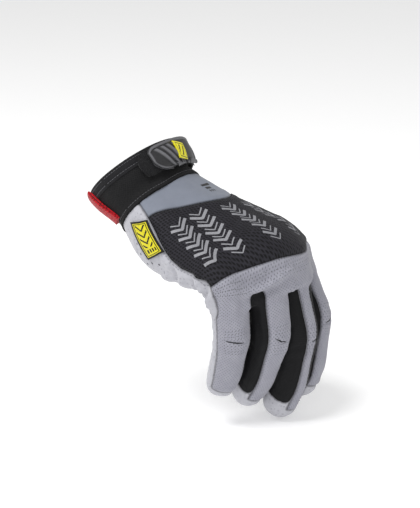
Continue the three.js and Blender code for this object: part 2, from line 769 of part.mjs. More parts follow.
addPiece("wrist_panel", wristPanel, "#8c929a", 0.75);
addPiece("back_panel", backPanel, "#2a292d", 0.85);
addPiece("finger_back_panel", fingerBack, "#9d9ca3", 0.8);
sidewalls.forEach((solid, i) => addPiece(sidewallNames[i], solid, "#1a1a1c", 0.8));
addPiece("palm_panel", palmPanel, "#b5b5bb", 0.8);

// The thumb is sewn to the palm round its root
const thumb = largest(thumbSolid(0).subtract(thumbInner).subtract(handSolid(hollowStart, seamGap)));
addPiece("thumb", thumb, "#b0b0b6", 0.8);

// Cuff and the binding round its mouth
function band(v0, v1, deep, proud, rows) {
  const steps = Array.from({ length: rows + 1 }, (_, i) => i / rows);
  const top = steps.map((t) => ({ t, out: proud }));
  const under = steps.map((t) => ({ t: 1 - t, out: deep }));
  const profile = [...top, ...under];
  const n = profile.length;
  const pos = [];
  const tri = [];
  for (let j = 0; j < bodySides; j += 1) {
    const u = j / bodySides;
    for (const q of profile) pos.push(...bodyPoint(u, THREE.MathUtils.lerp(v0(u), v1(u), q.t), q.out));
    for (let i = 0; i < n; i += 1) {
      const a = j * n + i;
      const b = j * n + ((i + 1) % n);
      const c = ((j + 1) % bodySides) * n + ((i + 1) % n);
      const d = ((j + 1) % bodySides) * n + i;
      tri.push(a, b, c, a, c, d);
    }
  }
  return solidOf(pos, tri);
}
const cuff = band(() => hemWidth + seamGap, cuffEdge, cuffProud - cuffWall, cuffProud, 3);
addPiece("cuff", cuff, "#262626", 0.85);
const hem = band(() => 0, () => hemWidth, hemProud - hemWall, hemProud, 1);
addPiece("cuff_hem", hem, "#3a3a3e", 0.85);

// Loop patch, strap and moulded tab over the back of the cuff, one on the other
const patchOn = hemProud + layGap;
const patchTop = patchOn + patchWall;
const strapOn = patchTop + layGap;
const strapTop = strapOn + strapWall;
const tabOn = strapTop + layGap;
const tabTop = tabOn + tabWall;
const straight = (value) => () => value;
const patchEnd = patchStart + patchLength * roundMm;
const tabEnd = tabStart + tabLength * roundMm;
const patch = bodySlab(straight(patchStart), straight(patchEnd), straight(patchInset),
  straight(patchInset + patchWidth), patchOn, patchTop, 3, 12);
addPiece("loop_patch", patch, "#1c1c1e", 1);
const strap = bodySlab(straight(tabStart + 2 * roundMm), straight(tabStart + strapLength * roundMm),
  straight(strapInset), straight(strapInset + strapWidth), strapOn, strapTop, 3, 14);
addPiece("closure_strap", strap, "#2c2c2f", 0.85);
const tabEdge = (u) => tabInset + tabWidth + (u - tabStart) * tabSlant;
let tab = bodySlab(straight(tabStart), straight(tabEnd), straight(tabInset), tabEdge, tabOn, tabTop, 3, 10);
for (let i = 0; i < ribCount; i += 1) {
  const at = tabStart + (ribStart + i * ribPitch) * roundMm;
  const lean = ribLean * roundMm;
  const wide = ribWidth * roundMm;
  const low = tabInset + ribMargin;
  const high = tabEdge(at) - ribMargin;
  const corners = [[at, low], [at + wide, low], [at + lean, high], [at + lean + wide, high]];
  tab = tab.add(cornerSlab(corners, tabTop - ribSink, tabTop + ribHeight, 3, 1));
}
addPiece("closure_tab", tab, "#5b5b5f", 0.5);
const badgeAt = tabStart + badgeStart * roundMm;
const badgeCorners = [
  [badgeAt, badgeInset],
  [badgeAt + badgeWidth * roundMm, badgeInset],
  [badgeAt, badgeInset + badgeHeight],
  [badgeAt + badgeWidth * roundMm, badgeInset + badgeHeight],
];
const badgeOn = tabTop + layGap;
addPiece("tab_badge", cornerSlab(badgeCorners, badgeOn, badgeOn + badgeWall, 2, 3), "#f0e668", 0.6);

// Woven label folded over the seam at the little finger's side, and the pull loop of red webbing
const labelPlace = (u, share) => [u, wristAt + share * palmLength];
const labelAlong = labelLength / palmLength;
const labelAcross = labelWidth * roundMm;
const labelCorners = [
  labelPlace(0.009 - labelAcross / 2, labelStart - 0.055),
  labelPlace(0.009 + labelAcross / 2, labelStart + 0.065),
  labelPlace(-0.0175 - labelAcross / 2, labelStart - 0.06 + labelAlong),
  labelPlace(-0.0175 + labelAcross / 2, labelStart + 0.05 + labelAlong),
];
addPiece("side_label", cornerSlab(labelCorners, labelOn, labelOn + labelWall, 6, 4), "#e6dc5a", 0.7);
const loopStops = [
  { v: 0.72, out: 2.5 },
  { v: 0.52, out: 2.5 },
  { v: 0.34, out: 2.5 },
  { v: 0.16, out: 2.6 },
  { v: 0.05, out: 2.9 },
  { v: -0.01, out: 3.8 },
  { v: 0.05, out: 4.75 },
  { v: 0.16, out: 4.9 },
  { v: 0.34, out: 4.6 },
  { v: 0.52, out: 4.2 },
  { v: 0.72, out: 3.9 },
].map((q) => ({ v: q.v * cuffLength, out: q.out }));
addPiece("pull_loop", ribbon(loopAt, loopWidth, loopWall, loopStops), "#a01020", 0.8);

const mouth = axisY.clone().applyAxisAngle(axisX, wristBend * deg).multiplyScalar(wristAt);
hand.rotation.x = handPitch * deg;
hand.position.copy(mouth.applyAxisAngle(axisX, handPitch * deg).negate());

export default group;
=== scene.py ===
import json
import math
import bpy
import numpy as np
from mathutils import Matrix, Vector
from mathutils.bvhtree import BVHTree
from mathutils.kdtree import KDTree

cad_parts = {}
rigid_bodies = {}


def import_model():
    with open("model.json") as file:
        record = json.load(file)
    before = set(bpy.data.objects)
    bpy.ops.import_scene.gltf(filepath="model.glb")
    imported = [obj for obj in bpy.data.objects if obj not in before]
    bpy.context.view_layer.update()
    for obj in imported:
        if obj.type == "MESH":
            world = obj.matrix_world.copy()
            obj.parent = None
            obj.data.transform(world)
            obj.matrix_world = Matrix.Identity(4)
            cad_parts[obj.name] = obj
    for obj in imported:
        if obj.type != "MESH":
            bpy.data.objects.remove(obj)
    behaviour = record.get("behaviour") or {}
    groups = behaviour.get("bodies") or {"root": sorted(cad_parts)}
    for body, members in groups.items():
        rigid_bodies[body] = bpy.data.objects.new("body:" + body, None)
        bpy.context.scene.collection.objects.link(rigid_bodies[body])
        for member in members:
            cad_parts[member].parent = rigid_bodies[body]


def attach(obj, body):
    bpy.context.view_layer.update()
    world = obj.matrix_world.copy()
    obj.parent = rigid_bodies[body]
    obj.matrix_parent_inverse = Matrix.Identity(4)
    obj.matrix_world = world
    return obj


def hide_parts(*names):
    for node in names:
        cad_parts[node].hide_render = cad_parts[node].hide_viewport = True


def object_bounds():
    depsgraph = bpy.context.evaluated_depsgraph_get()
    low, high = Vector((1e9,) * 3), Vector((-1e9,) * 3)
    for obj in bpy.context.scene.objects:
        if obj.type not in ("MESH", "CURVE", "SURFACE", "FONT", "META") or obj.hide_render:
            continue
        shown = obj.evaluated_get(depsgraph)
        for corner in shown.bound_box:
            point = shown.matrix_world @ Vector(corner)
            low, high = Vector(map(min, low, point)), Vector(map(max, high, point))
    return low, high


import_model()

for name in ("Cube", "Light", "Camera"):
    if name in bpy.data.objects:
        bpy.data.objects.remove(bpy.data.objects[name])
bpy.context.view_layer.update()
bpy.ops.object.select_all(action="DESELECT")

# The form of the hand, in millimetres.
# The same sizes as the solids: wrist centre at the zero point, -Y to the knuckles, +Z the back.
hand = {
    "palmLength": 90, "knuckleBreadth": 70, "palmDepth": 40, "fingerLength": 107, "fingerWidth": 24.4,
    "wristBreadth": 67, "wristDepth": 49, "thumbWidth": 25, "handPitch": 23.8, "wristBend": 25,
    "cuffLength": 32, "cuffOverlap": 10, "cuffBreadth": 73, "cuffDepth": 56, "fingerBase": 20,
    "middleJoint": 0.465, "endJoint": 0.755, "bendSpan": 0.16, "fingerFlat": 1.07, "knucklePlump": 0.8,
    "voxel": 0.95, "wall": 1.15, "tipShare": 0.8, "formSides": 48,
    # one row per knuckle slit: its places in degrees and shares of the finger, and its width
    "slits": [([(80, 0.44), (52, 0.452), (20, 0.465)], 1.2), ([(44, 0.45), (24, 0.468), (4, 0.476)], 1.1),
              ([(24, 0.484), (12, 0.482), (0, 0.479)], 1.0), ([(14, 0.505), (-8, 0.5), (-30, 0.485)], 1.0)],
}
fingerTable = [
    {"name": "pinky", "across": -0.46, "along": 0.837, "up": -0.212, "long": 0.766, "wide": 0.861,
     "root": 1.24, "knuckle": 65.5, "middle": 16, "spread": -5.4, "roll": 9.8},
    {"name": "ring", "across": -0.163, "along": 0.937, "up": 0.1, "long": 0.935, "wide": 0.943,
     "root": 1.2, "knuckle": 61.4, "middle": 24, "spread": -1.8, "roll": 5.5},
    {"name": "middle", "across": 0.19, "along": 0.965, "up": 0.095, "long": 1, "wide": 1,
     "root": 1.2, "knuckle": 51.7, "middle": 25, "spread": 0.5, "roll": -1.6},
    {"name": "index", "across": 0.545, "along": 0.875, "up": -0.075, "long": 0.897, "wide": 0.984,
     "root": 1.22, "knuckle": 38.5, "middle": 27, "spread": 5, "roll": -6.8},
]
formAt = [0.2, 0.35, 0.465, 0.6, 0.755, 0.9, 1.0]
formWidth = [1.03, 0.97, 1.0, 0.92, 0.9, 0.82, 0.8]
thumbAt = [[0.22, -0.2, -0.11], [0.36, -0.34, -0.2], [0.47, -0.5, -0.28],
           [0.54, -0.68, -0.35], [0.58, -0.83, -0.41], [0.59, -0.98, -0.47]]
thumbWide = [1.16, 1.14, 1.06, 0.98, 0.97, 0.86]
ovalAngles = np.radians([180, 150, 122, 101, 79, 58, 30, 0, -30, -58, -79, -101, -122, -150])
palmRows = [  # share of the way, back, thumb pad, outer pad, outer edge
    [0.1, -0.03, 0.02, 0.1, 0.01], [0.25, -0.05, 0.06, 0.22, 0.05], [0.4, -0.06, 0.06, 0.27, 0.07],
    [0.55, -0.055, 0.04, 0.26, 0.07], [0.7, -0.04, 0.02, 0.2, 0.06], [0.85, -0.025, 0.0, 0.1, 0.03],
]
padShares = np.array([
    [0, 0, 0.4, 1], [0.4, 0, 0.1, 0.5], [1, 0, 0, 0], [1, 0, 0, 0], [1, 0, 0, 0], [1, 0, 0, 0],
    [0.5, 0, 0, 0], [0, 0, 0, 0], [0, 0.6, 0, 0], [0, 1, 0, 0], [0, 0.8, 0.2, 0], [0, 0.2, 0.6, 0],
    [0, 0, 0.95, 0.2], [0, 0, 0.9, 0.7]])
ringMm = 240.0
wristAt = hand["cuffLength"] - hand["cuffOverlap"]
knuckleAt = wristAt + hand["palmLength"]
bodyEnd = knuckleAt + hand["fingerBase"]


def ease(x):
    t = np.clip(x, 0, 1)
    return t * t * (3 - 2 * t)


def turn(axis, degrees):
    return np.array(Matrix.Rotation(math.radians(degrees), 3, axis))


def unit(a):
    return a / np.maximum(np.linalg.norm(a, axis=-1, keepdims=True), 1e-9)


def wrap(x):
    return (x + 0.5) % 1.0 - 0.5


def makeFinger(row):
    length = row["long"] * hand["fingerLength"]
    radius = row["wide"] * hand["fingerWidth"] / 2
    home = np.array([row["across"] * hand["knuckleBreadth"], -row["along"] * hand["palmLength"],
                     row["up"] * hand["palmDepth"]])
    pose = turn("Y", -row["roll"]) @ turn("Z", -row["spread"])
    span = hand["bendSpan"] * length
    bends = [(0, row["knuckle"]), (hand["middleJoint"] * length, row["middle"]),
             (hand["endJoint"] * length, row["middle"] * 0.5)]
    step = 0.5
    s = np.arange(-14, length + 8, step)
    angle = sum(b * ease((s - at) / span + 0.5) for at, b in bends)
    turns = np.array([pose @ turn("X", a) for a in angle])
    along, back, side = -turns[:, :, 1], turns[:, :, 2], turns[:, :, 0]
    points = np.cumsum(along * step, axis=0)
    zero = np.array([np.interp(0, s, points[:, k]) for k in range(3)])
    return {"s": s, "point": points - zero + home, "along": along, "back": back, "side": side,
            "length": length, "radius": radius, "rootRadius": radius * row["root"], "name": row["name"]}


def fingerRadius(f, s):
    share = s / f["length"]
    root = f["rootRadius"] + (f["radius"] * 1.03 - f["rootRadius"]) * ease(share / 0.2)
    return np.where(share < 0.2, root, f["radius"] * np.interp(share, formAt, formWidth))


def fingerFrame(f, s):
    read = lambda a: np.stack([np.interp(s, f["s"], a[:, k]) for k in range(3)], -1)
    return read(f["point"]), unit(read(f["along"])), unit(read(f["back"])), unit(read(f["side"]))


def fingerSkin(f, angle, s, out=0.0):
    point, along, back, side = fingerFrame(f, s)
    r = fingerRadius(f, s) + out
    a = np.radians(angle)
    return point + back * (r * hand["fingerFlat"] * np.cos(a))[..., None] - side * (r * np.sin(a))[..., None]


fingers = [makeFinger(row) for row in fingerTable]


def knuckleRing(s):
    def spot(f, a):
        return fingerSkin(f, np.array([float(a)]), np.array([float(s)]), hand["knucklePlump"])[0]
    back = [spot(f, 0) for f in fingers]
    front = [spot(f, 180) for f in fingers]
    thumbEdge = [spot(fingers[3], a) for a in (-45, -90, -135)]
    outer = [spot(fingers[0], a) for a in (135, 90, 45)]
    return np.array([outer[1], outer[2], *back, *thumbEdge, *front[::-1], outer[0]])


def ovalRing(d, breadth, depth, tilt):
    out = turn("X", hand["wristBend"]) @ np.array([0, 1, 0])
    up = turn("X", tilt) @ np.array([0, 0, 1])
    across = np.outer(np.cos(ovalAngles) * breadth / 2, [1, 0, 0])
    return out * d + across + np.outer(np.sin(ovalAngles) * depth / 2, up)


def bodyRows():
    rows = []
    for v in (-6, 0, wristAt * 0.5):
        rows.append((v, ovalRing(wristAt - v, hand["cuffBreadth"] - v * 0.12, hand["cuffDepth"] - v * 0.12,
                                 hand["wristBend"])))
    wrist = ovalRing(0, hand["wristBreadth"], hand["wristDepth"], hand["wristBend"] * 0.5)
    rows.append((wristAt, wrist))
    knuckles = knuckleRing(-8)
    for at, back, thumbPad, outerPad, edge in palmRows:
        ring = wrist + (knuckles - wrist) * at
        lift = padShares @ np.array([back, -thumbPad, -outerPad, 0])
        ring[:, 2] += lift * hand["palmDepth"]
        ring[:, 0] -= padShares[:, 3] * edge * hand["palmDepth"]
        rows.append((wristAt + at * (hand["palmLength"] - 8), ring))
    rows.append((knuckleAt - 8, knuckles))
    for share in (0, 0.3, 0.6, 1, 1.25):
        rows.append((knuckleAt + share * hand["fingerBase"], knuckleRing(share * hand["fingerBase"])))
    return np.array([r[0] for r in rows], float), np.array([r[1] for r in rows])


rowV, rowRing = bodyRows()


def ringAt(v):
    i = np.clip(np.searchsorted(rowV, v, side="left") - 1, 0, len(rowV) - 2)
    before, after = np.maximum(i - 1, 0), np.minimum(i + 2, len(rowV) - 1)
    h = rowV[i + 1] - rowV[i]
    t = ((v - rowV[i]) / h)[:, None, None]
    m0 = (rowRing[i + 1] - rowRing[before]) * (h / (rowV[i + 1] - rowV[before]))[:, None, None]
    m1 = (rowRing[after] - rowRing[i]) * (h / (rowV[after] - rowV[i]))[:, None, None]
    return (rowRing[i] * (2 * t**3 - 3 * t**2 + 1) + m0 * (t**3 - 2 * t**2 + t)
            + rowRing[i + 1] * (-2 * t**3 + 3 * t**2) + m1 * (t**3 - t**2))


def bodySkin(u, v):
    u, v = np.broadcast_arrays(np.asarray(u, float), np.asarray(v, float))
    shape = u.shape
    u, v = u.ravel(), v.ravel()
    rings = ringAt(v)
    n = rings.shape[1]
    p = (u % 1.0) * n
    i = np.floor(p).astype(int)
    t = (p - i)[:, None]
    pick = np.arange(len(u))
    p0, p1, p2, p3 = (rings[pick, (i + k) % n] for k in (-1, 0, 1, 2))
    gap = lambda a, b: np.maximum(np.linalg.norm(a - b, axis=1), 1e-6)[:, None] ** 0.5
    d0, d1, d2 = gap(p0, p1), gap(p1, p2), gap(p2, p3)
    t1 = ((p1 - p0) / d0 - (p2 - p0) / (d0 + d1) + (p2 - p1) / d1) * d1
    t2 = ((p2 - p1) / d1 - (p3 - p1) / (d1 + d2) + (p3 - p2) / d2) * d1
    q = p1 + t1 * t + (-3 * p1 + 3 * p2 - 2 * t1 - t2) * t**2 + (2 * p1 - 2 * p2 + t1 + t2) * t**3
    return q.reshape(shape + (3,))


def bodyNormal(u, v):
    tu = bodySkin(u + 0.002, v) - bodySkin(u - 0.002, v)
    tv = bodySkin(u, v + 0.2) - bodySkin(u, v - 0.2)
    return unit(np.cross(tv, tu))


def bodyPoint(u, v, out=0.0):
    return bodySkin(u, v) + bodyNormal(u, v) * np.asarray(out)[..., None]


# from the hand's frame in millimetres to the part's frame in metres
pitch = turn("X", hand["handPitch"])
mouth = pitch @ turn("X", hand["wristBend"]) @ np.array([0, wristAt, 0])


def toPart(p):
    return (np.asarray(p) @ pitch.T - mouth) / 1000


# The skin of the whole hand: closed forms run together, then one even mesh over them
def newMesh(name, points, faces):
    mesh = bpy.data.meshes.new(name)
    mesh.from_pydata([tuple(p) for p in np.asarray(points, float)], [], [tuple(map(int, f)) for f in faces])
    mesh.update()
    return mesh


def newPiece(name, points, faces):
    piece = bpy.data.objects.new(name, newMesh(name, points, faces))
    bpy.context.scene.collection.objects.link(piece)
    return piece


def pickOnly(piece):
    bpy.ops.object.select_all(action="DESELECT")
    bpy.context.view_layer.objects.active = piece
    piece.select_set(True)


def treeOf(points):
    tree = KDTree(len(points))
    for i, p in enumerate(points):
        tree.insert(p, i)
    tree.balance()
    return tree


def runOf(line):
    return np.concatenate([[0], np.cumsum(np.linalg.norm(np.diff(line, axis=0), axis=1))])


def tube(rings):
    n = len(rings[0])
    points = np.concatenate([*rings, [np.mean(rings[0], 0)], [np.mean(rings[-1], 0)]])
    faces = []
    for i in range(len(rings) - 1):
        for j in range(n):
            k = (j + 1) % n
            faces.append((i * n + j, i * n + k, (i + 1) * n + k, (i + 1) * n + j))
    last = (len(rings) - 1) * n
    for j in range(n):
        k = (j + 1) % n
        faces.append((len(points) - 2, k, j))
        faces.append((len(points) - 1, last + j, last + k))
    return points, faces


def roundEnd(tip):
    return [(math.sin(math.radians(a)) * tip, math.cos(math.radians(a))) for a in range(0, 89, 8)]


def fingerForm(f):
    count = hand["formSides"]
    sides = np.arange(count) * 360 / count
    tip = hand["tipShare"] * f["radius"]
    rings = []
    for s in np.arange(0.08 * f["length"], f["length"] - tip, 1.5):
        sunk = 0.66 + 0.34 * ease(s / hand["fingerBase"])
        r = fingerRadius(f, s)
        rings.append(fingerSkin(f, sides, np.full(count, s), r * (sunk - 1)))
    for shift, shrink in roundEnd(tip):
        s = f["length"] - tip + shift
        r = fingerRadius(f, min(s, f["length"]))
        rings.append(fingerSkin(f, sides, np.full(count, s), r * (shrink - 1)))
    return tube(rings)


thumbStop = 54
thumbPoints = np.array(thumbAt) * hand["palmLength"]
thumbT = np.linspace(0, 1, 60)
thumbLine = np.stack([np.interp(thumbT, np.linspace(0, 1, 6), thumbPoints[:, k]) for k in range(3)], -1)
for _ in range(12):
    thumbLine[1:-1] = thumbLine[1:-1] * 0.5 + (thumbLine[2:] + thumbLine[:-2]) * 0.25
thumbRadius = np.interp(thumbT, np.linspace(0, 1, 6), thumbWide) * hand["thumbWidth"] / 2


def thumbForm():
    rings = []
    along = unit(np.gradient(thumbLine, axis=0))
    places = [(i, 0.0, 1.0) for i in range(1, thumbStop, 2)]
    places += [(thumbStop, shift, shrink) for shift, shrink in roundEnd(thumbRadius[thumbStop])]
    for i, shift, shrink in places:
        back = np.array([0.55, 0, 0.83])
        back = unit(back - along[i] * (along[i] @ back))
        side = np.cross(along[i], back)
        a = np.radians(np.arange(hand["formSides"]) * 360 / hand["formSides"])[:, None]
        outward = back * np.cos(a) + side * np.sin(a)
        rings.append(thumbLine[i] + along[i] * shift + outward * thumbRadius[i] * shrink)
    return tube(rings)


def bodyForm():
    u = np.arange(150) / 150
    return tube([bodySkin(u, np.full(150, v)) for v in np.arange(wristAt - 12, bodyEnd + 0.1, 1.5)])


def meshArrays(mesh):
    points = np.empty(len(mesh.vertices) * 3)
    mesh.vertices.foreach_get("co", points)
    mesh.calc_loop_triangles()
    tris = np.empty(len(mesh.loop_triangles) * 3, np.int32)
    mesh.loop_triangles.foreach_get("vertices", tris)
    return points.reshape(-1, 3), tris.reshape(-1, 3)


def addOn(points, faces, more, moreFaces):
    faces += [tuple(i + len(points) for i in face) for face in moreFaces]
    points += list(more)


def makeSkin():
    points, faces = [], []
    for more, moreFaces in [bodyForm(), thumbForm(), *[fingerForm(f) for f in fingers]]:
        addOn(points, faces, more, moreFaces)
    piece = newPiece("skin", points, faces)
    pickOnly(piece)
    bpy.ops.object.mode_set(mode="EDIT")
    bpy.ops.mesh.select_all(action="SELECT")
    bpy.ops.mesh.normals_make_consistent(inside=False)
    bpy.ops.object.mode_set(mode="OBJECT")
    remesh = piece.modifiers.new("even", "REMESH")
    remesh.mode = "VOXEL"
    remesh.voxel_size = hand["voxel"]
    bpy.ops.object.modifier_apply(modifier="even")
    p, t = meshArrays(piece.data)
    bpy.data.objects.remove(piece)
    return p, t


def edgesOf(tris):
    e = np.sort(np.concatenate([tris[:, [0, 1]], tris[:, [1, 2]], tris[:, [2, 0]]]), axis=1)
    return np.unique(e, axis=0)


def smoothed(values, edges, rounds, share=0.5, weight=None):
    count = np.bincount(edges.ravel(), minlength=len(values)).astype(float)
    count = np.maximum(count, 1)
    if values.ndim == 2:
        count = count[:, None]
    w = share if weight is None else share * (weight[:, None] if values.ndim == 2 else weight)
    for _ in range(rounds):
        total = np.zeros_like(values)
        np.add.at(total, edges[:, 0], values[edges[:, 1]])
        np.add.at(total, edges[:, 1], values[edges[:, 0]])
        values = values + (total / count - values) * w
    return values


def normalsOf(points, tris):
    a, b, c = points[tris[:, 0]], points[tris[:, 1]], points[tris[:, 2]]
    face = np.cross(b - a, c - a)
    total = np.zeros_like(points)
    for k in range(3):
        np.add.at(total, tris[:, k], face)
    return unit(total)


skinPoints, skinTris = makeSkin()
skinEdges = edgesOf(skinTris)
print("skin: points", len(skinPoints), "triangles", len(skinTris))


# Where each point of the skin lies: u, v round and along the body, and s, angle on each finger
gridStep = 0.8
gridU = np.arange(420) / 420
gridV = np.arange(wristAt - 12, bodyEnd + 4, gridStep)
gridPoint = bodySkin(*np.meshgrid(gridU, gridV))
nextU = np.roll(gridPoint, -1, axis=1) - gridPoint
arc = np.cumsum(np.linalg.norm(nextU, axis=2), axis=1)
arc = arc - arc[:, [105]]  # millimetres round the ring from the middle of the back
bodyTree = treeOf(gridPoint.reshape(-1, 3))


def placeOnBody(points):
    hit = np.array([bodyTree.find(p)[1] for p in points])
    row, col = hit // len(gridU), hit % len(gridU)
    u, v = gridU[col], gridV[row]
    q = gridPoint[row, col]
    tu = (bodySkin(u + 0.002, v) - bodySkin(u - 0.002, v)) / 0.004
    tv = (bodySkin(u, v + 0.2) - bodySkin(u, v - 0.2)) / 0.4
    d = points - q
    a, b, c = (tu * tu).sum(1), (tu * tv).sum(1), (tv * tv).sum(1)
    x, y = (d * tu).sum(1), (d * tv).sum(1)
    det = np.maximum(a * c - b * b, 1e-9)
    du = np.clip((c * x - b * y) / det, -0.006, 0.006)
    dv = np.clip((a * y - b * x) / det, -1.5, 1.5)
    off = (d * unit(np.cross(tv, tu))).sum(1)
    return u + du, v + dv, off


def placeOnFinger(f, points):
    line, s = f["point"][::2], f["s"][::2]
    best = np.empty(len(points), int)
    atOnce = 8000
    for start in range(0, len(points), atOnce):
        part = points[start:start + atOnce]
        best[start:start + atOnce] = ((part[:, None] - line[None]) ** 2).sum(2).argmin(1)
    at = s[best]
    for _ in range(2):
        point, along, back, side = fingerFrame(f, at)
        at = np.clip(at + ((points - point) * along).sum(1), s[0], s[-1])
    point, along, back, side = fingerFrame(f, at)
    d = points - point
    b, c = (d * back).sum(1), -(d * side).sum(1)
    tip = f["length"] - hand["tipShare"] * f["radius"]
    tipPoint = fingerFrame(f, np.full(len(points), tip))[0]
    beyond = np.maximum(0, ((points - tipPoint) * along).sum(1)) * (at > tip)
    r = fingerRadius(f, np.minimum(at, f["length"]))
    reach = np.sqrt((b / hand["fingerFlat"]) ** 2 + c**2 + (beyond / hand["tipShare"]) ** 2)
    return at, np.degrees(np.arctan2(c, b / hand["fingerFlat"])), reach - r


def placeOnThumb(points):
    best = np.full(len(points), 1e9)
    for spot, radius in zip(thumbLine[:thumbStop], thumbRadius):
        best = np.minimum(best, np.linalg.norm(points - spot, axis=1) - radius)
    return best


def placeAll(points):
    u, v, off = placeOnBody(points)
    onFinger = [placeOnFinger(f, points) for f in fingers]
    at, angle, away = (np.stack([x[k] for x in onFinger]) for k in range(3))
    near = away.argmin(0)
    pick = np.arange(len(points))
    return {"u": u, "v": v, "off": off, "near": near, "s": at[near, pick], "angle": angle[near, pick],
            "away": away[near, pick], "thumbAway": placeOnThumb(points)}


# the creases where two forms meet are softened, then the whole skin
place = placeAll(skinPoints)
forms = np.stack([place["off"], place["away"], place["thumbAway"]])
forms.sort(axis=0)
crease = np.exp(-((forms[1] - forms[0]) / 2.5) ** 2) * (place["v"] > wristAt)
skinPoints = smoothed(skinPoints, skinEdges, 14, 0.5, crease)
for _ in range(3):
    skinPoints = smoothed(skinPoints, skinEdges, 1, 0.55)
    skinPoints = smoothed(skinPoints, skinEdges, 1, -0.57)
skinPoints = smoothed(skinPoints, skinEdges, 2, 0.5)
place = placeAll(skinPoints)
print("skin placed")

# Panels' edges, as fields in millimetres: above zero inside the panel
seams = {
    "cuffEdge": [[0, 0.86], [0.07, 0.95], [0.15, 1.03], [0.27, 1.0], [0.5, 0.98], [0.8, 0.9], [0.92, 0.8],
                 [1, 0.86]],
    "wrist": [[-0.1, 0.17], [0.04, 0.21], [0.1, 0.29], [0.157, 0.37], [0.204, 0.425], [0.25, 0.46],
              [0.32, 0.45], [0.42, 0.36], [0.6, 0.2]],
    "knuckle": [[-0.1, 0.985], [0, 0.99], [0.05, 0.99], [0.107, 1.0], [0.168, 1.015], [0.211, 1.028],
                [0.282, 1.042], [0.35, 1.045], [0.45, 1.02], [0.6, 0.985]],
    "outer": [[0.2, 0.04], [0.31, 0.034], [0.42, 0.021], [0.52, 0.009], [0.62, 0.0], [0.68, -0.006],
               [0.8, -0.002], [1.2, -0.006]],
    "thumbSide": 0.515,
    "stripAt": [0, 12, 24, 34, 45, 57, 70, 110],
    "little": {"pinky": [86, 95, 109, 114, 113, 109, 104, 98], "ring": [58, 61, 64, 64, 64, 65, 62, 58],
               "middle": [40, 41, 41, 39, 38, 36, 38, 40], "index": [42, 40, 36, 30, 26, 33, 43, 40]},
    "thumb": {"pinky": [44, 43, 38, 30, 24, 20, 20, 20], "ring": [42, 40, 36, 31, 28, 22, 20, 20],
              "middle": [20, 8, -2, 2, 4, -9, -2, 8], "index": [95, 95, 95, 95, 95, 95, 95, 95]},
    # each wall's top: place, start, half width, lean, tilt of its end, rise of its width
    "webs": [[0.169, 0.5, 0.0165, -0.003, 0.35, 0.5], [0.243, 0.78, 0.014, -0.012, 1.1, 0.5],
             [0.306, 0.6, 0.017, -0.036, 0.6, 1.0]],
    "palmSide": 145, "stripEnd": 0.9, "wallEnd": 0.86, "fingerFrom": 15, "fingerBlend": 8,
    # where each wall starts along its two fingers, in mm; 0 leaves it to the row above
    "wallStart": [[0, 0], [0, 20.5], [21.5, 21]],
    # rounds that even out the edges of each wall
    "evenRounds": {"sidewall_pinky_ring": 30, "sidewall_ring_middle": 26, "sidewall_middle_index": 11},
}


def softTable(rows, x, width):
    rows = np.array(rows)
    total = 0
    for shift in np.linspace(-width, width, 7):
        total = total + np.interp(x + shift, rows[:, 0], rows[:, 1])
    return total / 7


def cuffEdge(u):
    return softTable(seams["cuffEdge"], np.asarray(u) % 1.0, 0.02) * hand["cuffLength"]


def wristSeam(u):
    return wristAt + softTable(seams["wrist"], wrap(u - 0.25) + 0.25, 0.03) * hand["palmLength"]


def knuckleSeam(u):
    return wristAt + softTable(seams["knuckle"], wrap(u - 0.25) + 0.25, 0.03) * hand["palmLength"]


def littleSeam(v):
    return softTable(seams["outer"], (v - wristAt) / hand["palmLength"], 0.04)


def stripEdge(side, name, s):
    total = 0
    for shift in (-4, -2, 0, 2, 4):
        total = total + np.interp(s + shift, seams["stripAt"], seams[side][name])
    return total / 5


def between(u, low, high):
    return ((high - low) / 2 - np.abs(wrap(u - (low + high) / 2))) * ringMm


